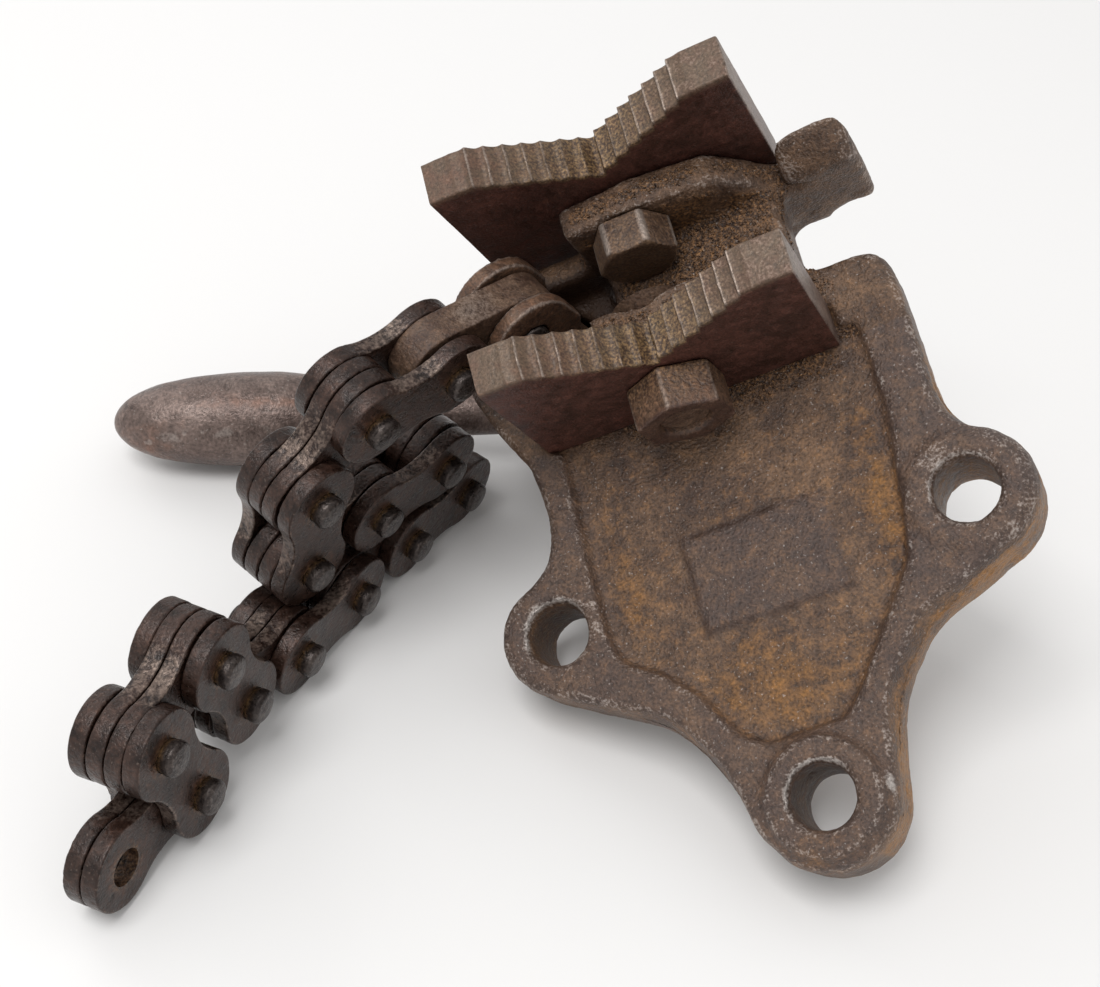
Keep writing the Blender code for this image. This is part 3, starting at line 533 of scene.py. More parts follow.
@dataclass(frozen=True)
class Relief:
    """Uneven skin that is pushed into a surface along its normals.

    Attributes:
        swell: height of the slow waves, and their cell.
        grain: height of the fine grain, and its cell.
        pit: depth of the rust pits, and their cell.
        seed: picks the noise.
    """

    swell: tuple[float, float]
    grain: tuple[float, float]
    pit: tuple[float, float]
    seed: int

    def press(self, mesh: bpy.types.Mesh) -> None:
        """Pushes in the waves, the grain and the pits, which are where a noise rises above 0.35."""
        points = mesh_points(mesh)
        swell = Noise(self.swell[1], 3, self.seed)(points) * self.swell[0]
        grain = Noise(self.grain[1], 2, self.seed + 7)(points) * self.grain[0]
        pits = smooth_step(0.35, 0.75, Noise(self.pit[1], 2, self.seed + 13)(points)) * self.pit[0]
        push(mesh, swell + grain - pits)


def add_node(tree: bpy.types.NodeTree, kind: str, inputs: dict | tuple = (), output: int | str = 0,
             **settings: str | bool) -> Socket | None:
    """Adds a shader node with its settings and links.

    Args:
        tree: the node tree.
        kind: the node's type, after "ShaderNode".
        inputs: values or output sockets for the inputs, in order, or by name or number.
        output: name or number of the output that is wanted.
        settings: attributes of the node itself.

    Returns:
        The wanted output, if the node has any.
    """
    node = tree.nodes.new("ShaderNode" + kind)
    for name, value in settings.items():
        setattr(node, name, value)
    for name, value in inputs.items() if isinstance(inputs, dict) else enumerate(inputs):
        if isinstance(value, Socket):
            tree.links.new(value, node.inputs[name])
        else:
            node.inputs[name].default_value = value
    return node.outputs[output] if node.outputs else None


# How a noise becomes a mask or a shade: its lowest and highest value, and what these turn into
OXIDE_SPAN = (0.34, 0.66, 0.0, 1.0)
RUST_SPAN = (0.62, 1.35, 0.0, 0.95)
GRIME_SPAN = (0.75, 1.2, 1.0, 0.55)
SOIL_SPAN = (0.4, 0.7, 0.0, 1.0)
NOISE_SPAN = (0.3, 0.7)
GRAIN_SHADE = (0.62, 1.34)
SPOT_SHADE = (0.74, 1.22)
GLINT_SPAN = (0.73, 0.85)
# Size as a share of the finish's own, detail and roughness of the noises
PATCH_NOISE = (1.0, 6.0, 0.62)
SPOT_NOISE = (0.25, 5.0, 0.6)
GRAIN_NOISE = (1.0, 3.0, 0.55)
GLINT_NOISE = (0.8, 0.0, 0.5)
DIRT_COVER = 0.85
BARE_METALLIC = 0.9
UNEVEN_GLOSS = 0.12
BUMP_STRENGTH = 0.9


@dataclass(frozen=True)
class IronFinish:
    """Old iron or steel: a mottled oxide skin, rust and grit over it, and bare metal where it rubs.

    Attributes:
        name: the material's name.
        deep: the darkest tone of the oxide.
        body: its usual tone.
        rust: the orange rust of the ochre layer.
        grime: the grey, oily grime of the grime layer.
        grit: the pale grains of the packed dirt of the dirt layer.
        bare_and_highlight: the bare metal of the wear layer, and the tone of its painted highlights and of the
            painted glints.
        soil_and_shade: the dark of the packed dirt, and of the crack layer, which also holds painted shade.
        patch: size of the mottled patches.
        grain: size of the fine grain.
        matt: roughness of the oxide.
        worn: roughness of the bare metal.
        metal: metallic value of the oxide.
        bump: height of the relief that is too fine for the mesh.
        bare_from: the value of wear and noise together where bare metal starts.
        glint: how much of the bare metal's tone the scattered bright specks take, as painted glints.
        speckle: how far the noises break up the wear to either side.
        fade: the step in wear over which the metal turns from covered to bare.
    """

    name: str
    deep: str
    body: str
    rust: str
    grime: str
    grit: str
    bare_and_highlight: str
    soil_and_shade: str
    patch: float
    grain: float
    matt: float
    worn: float
    metal: float
    bump: float
    bare_from: float
    glint: float
    speckle: float = 0.16
    fade: float = 0.5

    def material(self) -> bpy.types.Material:
        """Builds the material once, from the oxide up to the bare metal, and returns it.

        Returns:
            The material.
        """
        made = bpy.data.materials.get(self.name)
        if made is not None:
            return made
        made = bpy.data.materials.new(self.name)
        made.use_nodes = True
        made.node_tree.nodes.clear()
        add = partial(add_node, made.node_tree)
        place = add("TexCoord", output="Object")
        noises = ((self.patch, PATCH_NOISE), (self.patch, SPOT_NOISE), (self.grain, GRAIN_NOISE),
                  (self.grain, GLINT_NOISE))
        patches, spots, grain, fine = (
            add("TexNoise", {"Vector": place, "Scale": 1.0 / (size * share), "Detail": detail,
                             "Roughness": rough})
            for size, (share, detail, rough) in noises
        )
        painted = {layer: add("Attribute", output="Fac", attribute_name=layer.value) for layer in Layer}
        colour = self.covered(add, patches, spots, grain, painted)
        shades = [add("MapRange", (noise, *NOISE_SPAN, *shade))
                  for noise, shade in ((grain, GRAIN_SHADE), (spots, SPOT_SHADE))]
        shade = add("Math", tuple(shades), operation="MULTIPLY")
        colour = add("VectorMath", {0: colour, "Scale": shade}, operation="SCALE")
        # Painted glints: scattered specks in the bare metal's tone that stand in for sparkle
        glints = add("MapRange", (fine, *GLINT_SPAN, 0.0, self.glint))
        bare_and_highlight = self.rubbed(add, spots, grain, painted)
        # The last coat is the crack layer's dark: cracks, and painted shade in the slot's hollow
        for mask, coat in ((glints, self.bare_and_highlight), (bare_and_highlight, self.bare_and_highlight), (painted[Layer.CRACK_AND_SHADE], self.soil_and_shade)):
            colour = add("Mix", {0: mask, 6: colour, 7: linear(coat)}, 2, data_type="RGBA")
        dull = add("MapRange", (spots, *NOISE_SPAN, self.matt - UNEVEN_GLOSS, self.matt + UNEVEN_GLOSS))
        shader = add("BsdfPrincipled", {
            "Base Color": colour,
            "Metallic": add("MapRange", (bare_and_highlight, 0.0, 1.0, self.metal, BARE_METALLIC)),
            "Roughness": add("Mix", {0: bare_and_highlight, 2: dull, 3: self.worn}, data_type="FLOAT"),
            "Normal": add("Bump", {"Strength": BUMP_STRENGTH, "Distance": self.bump,
                                   "Height": add("Math", (grain, spots))}),
        })
        add("OutputMaterial", (shader,))
        return made

    def covered(self, add: partial, patches: Socket, spots: Socket, grain: Socket,
                painted: dict[Layer, Socket]) -> Socket:
        """Lays the oxide's two tones, then rust, grime and packed dirt, dark between its pale grains.

        Rust lies where it is painted and the spots rise, and grime where it is painted, broken up by the
        patches and the spots.

        Args:
            add: adds a node to the material's tree.
            patches: the mottled patches' noise.
            spots: the finer spots' noise.
            grain: the fine grain's noise.
            painted: the painted layers.

        Returns:
            The covered metal's colour.
        """
        oxide = add("MapRange", (patches, *OXIDE_SPAN))
        rust = add("MapRange", (add("Math", (spots, painted[Layer.OCHRE])), *RUST_SPAN))
        broken = add("MapRange", (add("Math", (patches, spots)), *GRIME_SPAN))
        grime = add("Math", (broken, painted[Layer.GRIME]), operation="MULTIPLY")
        dirt = add("Math", (painted[Layer.DIRT], DIRT_COVER), operation="MULTIPLY")
        light = add("MapRange", (grain, *SOIL_SPAN))
        packed = add("Mix", {0: light, 6: linear(self.soil_and_shade), 7: linear(self.grit)}, 2, data_type="RGBA")
        colour = linear(self.deep)
        for mask, coat in ((oxide, linear(self.body)), (rust, linear(self.rust)), (grime, linear(self.grime)),
                           (dirt, packed)):
            colour = add("Mix", {0: mask, 6: colour, 7: coat}, 2, data_type="RGBA")
        return colour

    def rubbed(self, add: partial, spots: Socket, grain: Socket, painted: dict[Layer, Socket]) -> Socket:
        """Returns where the metal is bare, and where the wear layer paints highlights: where wear and two noises
        together pass a value, off the dirt.

        Args:
            add: adds a node to the material's tree.
            spots: the spots' noise.
            grain: the fine grain's noise.
            painted: the painted layers.

        Returns:
            The mask, from 0 for covered to 1 for bare metal.
        """
        broken = add("Mix", {0: 0.5, 2: spots, 3: grain}, data_type="FLOAT")
        uneven = add("MapRange", (broken, *NOISE_SPAN, -self.speckle, self.speckle))
        rubbed = add("Math", (painted[Layer.WEAR_AND_HIGHLIGHT], uneven))
        mask = add("MapRange", (rubbed, self.bare_from, self.bare_from + self.fade, 0.0, 1.0))
        clean = add("Math", (1.0, painted[Layer.DIRT]), operation="SUBTRACT", use_clamp=True)
        return add("Math", (mask, clean), operation="MULTIPLY")


# Grey cast iron, sand cast and left raw: brown rust, purple-grey grime and a few painted glints in the bare
# metal's tone
SAND_CAST_IRON = IronFinish(
    "grey_cast_iron_sand_cast", deep="#48352a", body="#6f5540", rust="#8a5f2c", grime="#53433c",
    grit="#8a6540", bare_and_highlight="#bdb5af", soil_and_shade="#38251a", patch=12.0 * MM, grain=0.75 * MM, matt=0.47, worn=0.34,
    metal=0.15, bump=0.5 * MM, bare_from=0.42, glint=0.4, speckle=0.3, fade=0.4,
)
# Tool steel, milled and hardened: smooth maroon oxide on its sides, and grey-brown worn teeth whose tops are also
# painted lighter as lit
HARDENED_JAW_STEEL = IronFinish(
    "tool_steel_milled", deep="#3a221b", body="#55332a", rust="#7a4e33", grime="#6a5847", grit="#8d7149",
    bare_and_highlight="#9d8f85", soil_and_shade="#3b2a1e", patch=11.0 * MM, grain=0.7 * MM, matt=0.46, worn=0.42, metal=0.25,
    bump=0.2 * MM, bare_from=0.4, glint=0.15, speckle=0.32,
)
# Mild steel, forged: purple-brown scale with a satin sheen and pale fine pits
FORGED_STEEL = IronFinish(
    "mild_steel_forged", deep="#5c4c46", body="#776760", rust="#6d4a38", grime="#4c403b", grit="#7d6550",
    bare_and_highlight="#aaa099", soil_and_shade="#2c211d", patch=14.0 * MM, grain=0.9 * MM, matt=0.38, worn=0.4, metal=0.5,
    bump=0.26 * MM, bare_from=0.4, glint=0.4,
)
# Mild steel nuts and bolts: rust over the flats, a dark face and worn corners
RUSTY_STEEL = IronFinish(
    "mild_steel_rusted", deep="#453127", body="#6b5443", rust="#755038", grime="#432b25", grit="#8a6b49",
    bare_and_highlight="#a2968d", soil_and_shade="#35241a", patch=6.0 * MM, grain=0.7 * MM, matt=0.5, worn=0.42, metal=0.2,
    bump=0.3 * MM, bare_from=0.42, glint=0.25,
)
# Carbon steel chain plates, blanked and oiled: nearly black faces, and grey rims and sides, rubbed and also
# painted bright as highlights
BLANKED_CHAIN_STEEL = IronFinish(
    "carbon_steel_blanked", deep="#20140f", body="#402d25", rust="#66432d", grime="#382923", grit="#80664a",
    bare_and_highlight="#9f8e82", soil_and_shade="#1d130e", patch=7.0 * MM, grain=0.8 * MM, matt=0.34, worn=0.26, metal=0.35,
    bump=0.24 * MM, bare_from=0.36, glint=0.2, speckle=0.28, fade=0.6,
)
# Carbon steel chain pins, riveted over: dark, polished by hands, with a grey sheen on their domes
RIVETED_PIN_STEEL = IronFinish(
    "carbon_steel_riveted", deep="#2c2422", body="#48403c", rust="#6f5236", grime="#41352f", grit="#86683f",
    bare_and_highlight="#a39a94", soil_and_shade="#2b1f18", patch=5.0 * MM, grain=0.7 * MM, matt=0.32, worn=0.28, metal=0.6,
    bump=0.16 * MM, bare_from=0.35, glint=0.1,
)


def add_piece(name: str, mesh: bpy.types.Mesh, body: str, finish: IronFinish, node: str = "",
              crease: float = 50.0) -> None:
    """Links a finished mesh as a piece: it rides on its body and stands for its CAD node.

    Args:
        name: the piece's name.
        mesh: its mesh, in the world's frame.
        body: the body that it rides on.
        finish: its finish.
        node: the CAD node that it stands for, if any.
        crease: the angle in degrees above which an edge stays sharp.
    """
    mesh.materials.clear()
    mesh.materials.append(finish.material())
    mesh.shade_smooth()
    mesh.set_sharp_from_angle(angle=math.radians(crease))
    piece = linked(name, mesh)
    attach(piece, body)
    if node:
        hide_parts(node)
    log.info("%s: %d faces on %s", name, len(mesh.polygons), body)


@dataclass(frozen=True)
class BaseCasting:
    """The base casting: flange, walls, web, horns and boss, with its rust, grime and packed dirt."""

    vise: Frame
    voxel: float = 1.0 * MM
    hole_radius: float = 8.0 * MM
    holes: tuple = ((-54.0 * MM, 0.0, 0.0), (54.0 * MM, 0.0, 1.5 * MM), (0.0, -59.5 * MM, 3.0 * MM))
    # How much the three holes' rims are worn, and painted bright as a highlight on their far sides
    rim_wear_and_highlight: tuple = (0.62, 0.5, 0.62)
    wall_near: float = 59.4 * MM
    slot_near: float = 68.9 * MM
    slot_far: float = 91.9 * MM
    wall_far: float = 101.4 * MM
    jaw_face: float = 47.4 * MM
    sunk: float = 0.9 * MM
    horn_left: float = 40.5 * MM
    horn_gain: float = 4.2 * MM
    pad_low: tuple[float, float] = (-17.2 * MM, -12.5 * MM)
    pad_high: tuple[float, float] = (20.8 * MM, 13.5 * MM)
    # In millimetres, as the spots below are
    flank_bends: tuple = ((-27.0, -31.0), (34.0, -24.0), (24.0, -40.0), (-49.0, 24.0), (44.0, 22.0),
                          (-20.0, -42.0))
    bend_reach: float = 13.0 * MM
    ear_wear: Spot = Spot(50.0, 9.0, 9.0, 7.0, 0.46)
    # A small bare spot on the toe's right rim, painted bright as a glint
    toe_glint: Spot = Spot(16.0, -61.0, 1.6, 4.0, 0.8)
    horn_wear: Spot = Spot(39.5, 60.0, 2.4, 7.0, 0.75)
    floor_rust: tuple = (Spot(-1.0, -31.0, 22.0, 13.0, 0.62), Spot(35.0, 2.0, 5.0, 26.0, 0.66),
                         Spot(-33.0, 2.0, 4.0, 24.0, 0.4))
    toe_rust: Spot = Spot(-6.0, -72.0, 10.0, 4.0, 0.5)
    dirt_height: float = 0.9 * MM
    crack_depth: float = 0.55 * MM
    relief: Relief = Relief((0.30 * MM, 11.0 * MM), (0.16 * MM, 1.8 * MM), (0.30 * MM, 3.0 * MM), 11)

    def build(self) -> None:
        """Makes the weathered skin, paints its layers, and heaps up the dirt in lumps of two noises."""
        mesh = fine_copy("base_casting_skin", frame["nodes"]["base_casting"].data, self.voxel, rounds=7)
        local = self.vise.to_local(mesh_points(mesh))
        points = self.eased(mesh, local)
        set_points(mesh, points)
        edge = proudness(mesh, points, rounds=14, full=0.28 * MM)
        dirt = self.dirt(local, edge)
        cracks = self.cracked(local)
        # Besides the pad's cracks, the crack layer holds the painted shade of the slot's hollow
        paint(mesh, {Layer.DIRT: dirt, Layer.WEAR_AND_HIGHLIGHT: self.wear(local, edge), Layer.OCHRE: self.ochre(local),
                     Layer.GRIME: self.grime(local, edge),
                     Layer.CRACK_AND_SHADE: np.maximum(cracks, self.shaded(local))})
        push(mesh, -cracks * self.crack_depth)
        self.relief.press(mesh)
        points = mesh_points(mesh)
        lumps = 0.5 + 0.5 * Noise(4.0 * MM, 2, 5)(points) + 0.45 * Noise(1.3 * MM, 2, 6)(points)
        push(mesh, dirt * lumps * self.dirt_height)
        add_piece("base_casting_skin", mesh, "base", SAND_CAST_IRON, "base_casting",
                  SKIN_CREASE)

    def eased(self, mesh: bpy.types.Mesh, local: np.ndarray) -> np.ndarray:
        """Eases the flange's flanks into one sweep, rounds the walls behind the jaws and sinks the recess.

        The points near a bend move towards their smoothed places along the flange only, by a share that
        falls off as a bell curve round the bend. Behind the near wall the skin is smoothed again, the
        recess in front of the jaws is sunk a little deeper, and the far horn's left face moves.

        Args:
            mesh: the casting's skin.
            local: the skin's points in the vise's own frame.

        Returns:
            The skin's new points in the world.
        """
        _, y, z = local.T
        gaps = [np.linalg.norm(local[:, :2] - np.array(place) * MM, axis=1) for place in self.flank_bends]
        near = np.max([bell(gap, self.bend_reach) for gap in gaps], axis=0)
        near *= smooth_step(3.0 * MM, -0.5 * MM, z - 2.0 * MM) * within(-25.0 * MM, z, 3.0 * MM)
        behind = smooth_step(self.wall_near - 2.0 * MM, self.wall_near + 3.0 * MM, y)
        sunk = smooth_step(-0.8 * MM, -2.2 * MM, z) * (z > -6.0 * MM)
        sunk *= 1.0 - smooth_step(34.0 * MM, 45.0 * MM, y)
        share = near[:, None] * np.array((1.0, 1.0, 0.0))
        along = (relaxed(mesh, local, rounds=160, share=0.6) - local) * share
        rounded = (relaxed(mesh, local, rounds=16, share=0.5) - local) * behind[:, None]
        down = np.array((0.0, 0.0, -1.0)) * (sunk * self.sunk)[:, None]
        return self.vise.to_world(local + along + rounded + down - self.horn_shift(local))

    def horn_shift(self, local: np.ndarray) -> np.ndarray:
        """Returns how far the far horn's left face moves towards the jaw's end.

        The shift falls from its full length at the face to nothing 6 mm inside the horn, and starts at the
        height of the wall's top beside it.

        Args:
            local: the skin's points in the vise's own frame.

        Returns:
            One shift for each point, in the vise's own frame.
        """
        x, y, z = local.T
        inside = x - self.horn_left
        beside = within(self.slot_far + 2.0 * MM, y, self.wall_far) & within(-3.0 * MM, inside, -1.0 * MM)
        ledge = z[beside].max()
        share = (1.0 - smooth_step(0.5 * MM, 6.5 * MM, inside)) * (inside > -0.7 * MM)
        share *= smooth_step(ledge + 0.2 * MM, ledge + 1.2 * MM, z) * (y > self.slot_far - 2.0 * MM)
        return share[:, None] * np.array((self.horn_gain, 0.0, 0.0))

    def dirt(self, local: np.ndarray, edge: np.ndarray) -> np.ndarray:
        """Paints the packed dirt: at the near jaw's foot, on the walls, on the web and in hollows.

        Args:
            local: the skin's points in the vise's own frame.
            edge: how far each point stands proud.

        Returns:
            One value for each point.
        """
        x, y, z = local.T
        ragged = Noise(6.0 * MM, 3, 21)(local)
        loose = x + 4.0 * MM * ragged
        reach = (7.0 + 5.0 * ragged) * MM
        foot = smooth_step(0.0, 1.0, 1.0 - (self.jaw_face - y) / np.maximum(reach, 2.0 * MM))
        foot *= smooth_step(-24.0 * MM, 2.0 * MM, x) * (y < self.jaw_face + 12.0 * MM) * (z > -6.0 * MM)
        foot *= (1.0 - smooth_step(28.0 * MM, 35.0 * MM, loose)) * (1.0 - smooth_step(2.0 * MM, 6.0 * MM, z))
        shelf = smooth_step(self.wall_near, self.wall_near + 1.5 * MM, y)
        shelf *= 1.0 - smooth_step(self.wall_far - 1.0 * MM, self.wall_far, y)
        shelf *= (x > -21.0 * MM) * smooth_step(-1.0 * MM, 2.0 * MM, z)
        shelf *= (1.0 - smooth_step(30.0 * MM, 38.0 * MM, loose)) * smooth_step(-0.55, 0.1, ragged)
        shelf *= 1.0 - smooth_step(0.25, 0.6, edge)
        hollow = smooth_step(0.25, 0.8, -edge) * smooth_step(-4.0 * MM, -1.0 * MM, z) * (y > 48.0 * MM)
        return np.max([foot, shelf, hollow * 0.7], axis=0)

    def wear(self, local: np.ndarray, edge: np.ndarray) -> np.ndarray:
        """Paints the rubbed places: proud edges, the bench holes' rims with a painted highlight on their far
        sides, and the bare spots, one of them a painted glint on the toe.

        Args:
            local: the skin's points in the vise's own frame.
            edge: how far each point stands proud.

        Returns:
            One value for each point.
        """
        z = local[:, 2]
        wear = [smooth_step(0.4, 1.3, edge) * 0.42]
        for place, full in zip(self.holes, self.rim_wear_and_highlight):
            away = local[:, :2] - place[:2]
            gap = np.linalg.norm(away, axis=1)
            # The far side of each rim is painted brighter, as the highlight of the chamfer that faces the light
            lit_far_side = smooth_step(-0.6, 0.7, (away[:, 1] - 0.4 * away[:, 0]) / gap)
            ring = bell(gap - self.hole_radius - 0.7 * MM, 0.7 * MM) * (z > place[2] - 2.5 * MM)
            wear.append(ring * full * (0.6 + 0.6 * lit_far_side))
        wear.append(self.ear_wear(local) * (z > -1.0 * MM))
        wear.append(self.toe_glint(local) * (z > -1.5 * MM))
        wear.append(self.horn_wear(local) * smooth_step(2.0 * MM, 8.0 * MM, z))
        return np.max(wear, axis=0)

    def ochre(self, local: np.ndarray) -> np.ndarray:
        """Paints the orange rust: the recess below and beside the pad, and the flange's right side wall.

        Args:
            local: the skin's points in the vise's own frame.

        Returns:
            One value for each point.
        """
        x, y, z = local.T
        uneven = 0.65 + 0.6 * Noise(9.0 * MM, 3, 27)(local)
        patches = np.max([spot(local) for spot in self.floor_rust], axis=0) + 0.1
        streaks = 0.95 + 0.6 * Noise(5.0 * MM, 3, 29)(local * np.array((1.0, 1.0, 0.35)))
        side = (z < -3.0 * MM) * (x > 8.0 * MM) * (y < 40.0 * MM) * streaks
        toe = self.toe_rust(local) * (z > -4.0 * MM)
        return (within(-3.0 * MM, z, -1.2 * MM) * patches + side + toe) * uneven

    def grime(self, local: np.ndarray, edge: np.ndarray) -> np.ndarray:
        """Paints the grey grime on the raised border and the pad, and darkens the concave creases in front of the
        jaws with the same tone.

        Args:
            local: the skin's points in the vise's own frame.
            edge: how far each point stands proud.

        Returns:
            One value for each point.
        """
        x, y, z = local.T
        front = y < self.jaw_face
        border = smooth_step(-1.9 * MM, -0.7 * MM, z) * front
        border *= 0.75 + 0.2 * smooth_step(-10.0 * MM, 45.0 * MM, x + y)
        (left, foot), (right, top) = self.pad_low, self.pad_high
        pad = within(left, x, right) * within(foot, y, top) * (z > -5.0 * MM) * 0.95
        seam = smooth_step(0.2, 0.8, -edge) * front * 0.35
        return np.max([border, pad, seam], axis=0)

    def cracked(self, local: np.ndarray) -> np.ndarray:
        """Returns the depth of the cracks along the pad's top, foot, left and, faintly, right edge.

        Each crack is a narrow bell curve across its edge, which wanders with a noise and is cut off where
        another noise is low.

        Args:
            local: the skin's points in the vise's own frame.

        Returns:
            One value for each point.
        """
        x, y, z = local.T
        wander = Noise(6.0 * MM, 2, 33)(local) * 0.5 * MM
        (left, foot), (right, top) = self.pad_low, self.pad_high
        level = within(left - 1.0 * MM, x, right + 1.0 * MM)
        upright = within(foot - 1.0 * MM, y, top + 1.0 * MM)
        edges = ((y - top, 0.9, level * (x < 8.0 * MM)), (y - foot, 0.9, level * 0.9),
                 (x - left, 0.8, upright * 0.8), (x - right, 0.8, upright * (y < 2.0 * MM) * 0.22))
        depth = np.max([bell(away + wander, wide * MM) * share for away, wide, share in edges], axis=0)
        broken = smooth_step(-0.55, 0.1, Noise(5.0 * MM, 2, 37)(local))
        return depth * broken * within(-5.5 * MM, z, 0.0)

    def shaded(self, local: np.ndarray) -> np.ndarray:
        """Paints shade, as a dark colour, into the hollow of the slot left of the far jaw's bolt.

        Args:
            local: the skin's points in the vise's own frame.

        Returns:
            One value for each point.
        """
        x, y, z = local.T
        inside = within(self.slot_near - 1.5 * MM, y, self.slot_far + 1.5 * MM) * (z < 12.0 * MM)
        return inside * (1.0 - smooth_step(-17.0 * MM, -11.0 * MM, x)) * 0.85


@dataclass(frozen=True)
class LooseGrit:
    """Loose grains on the packed dirt, each a dented icosahedron of 20 faces."""

    count: int = 6000
    smallest: float = 0.2 * MM
    largest: float = 0.62 * MM
    dent: float = 0.25
    seed: int = 8

    def build(self, skin: bpy.types.Mesh) -> None:
        """Scatters the grains over the dirty points of the casting's skin.

        Each grain is an icosahedron whose corners are pushed in or out by up to a quarter, scaled to its
        size, with its middle on a dirty point that faces up.

        Args:
            skin: the casting's finished skin.
        """
        dirt = np.empty(len(skin.vertices), np.float32)
        skin.attributes[Layer.DIRT.value].data.foreach_get("value", dirt)
        chance = dirt.astype(float) ** 2 * (mesh_normals(skin)[:, 2] > 0.1)
        source = np.random.default_rng(self.seed)
        chosen = source.choice(len(dirt), self.count, replace=False, p=chance / chance.sum())
        shell = bmesh.new()
        bmesh.ops.create_icosphere(shell, subdivisions=1, radius=1.0)
        corners = np.array([vertex.co for vertex in shell.verts])
        faces = np.array([[vertex.index for vertex in face.verts] for face in shell.faces])
        shell.free()
        size = self.smallest + (self.largest - self.smallest) * source.random(self.count) ** 3
        uneven = 1.0 + self.dent * source.uniform(-1.0, 1.0, (self.count, len(corners), 1))
        grains = mesh_points(skin)[chosen, None, :] + corners[None] * uneven * size[:, None, None]
        numbers = faces[None] + (np.arange(self.count) * len(corners))[:, None, None]
        made = bpy.data.meshes.new("loose_grit")
        made.from_pydata(grains.reshape(-1, 3).tolist(), [], numbers.reshape(-1, 3).tolist())
        paint(made, {Layer.DIRT: np.repeat(source.uniform(0.5, 1.0, self.count), len(corners))})
        add_piece("loose_grit", made, "base", SAND_CAST_IRON)


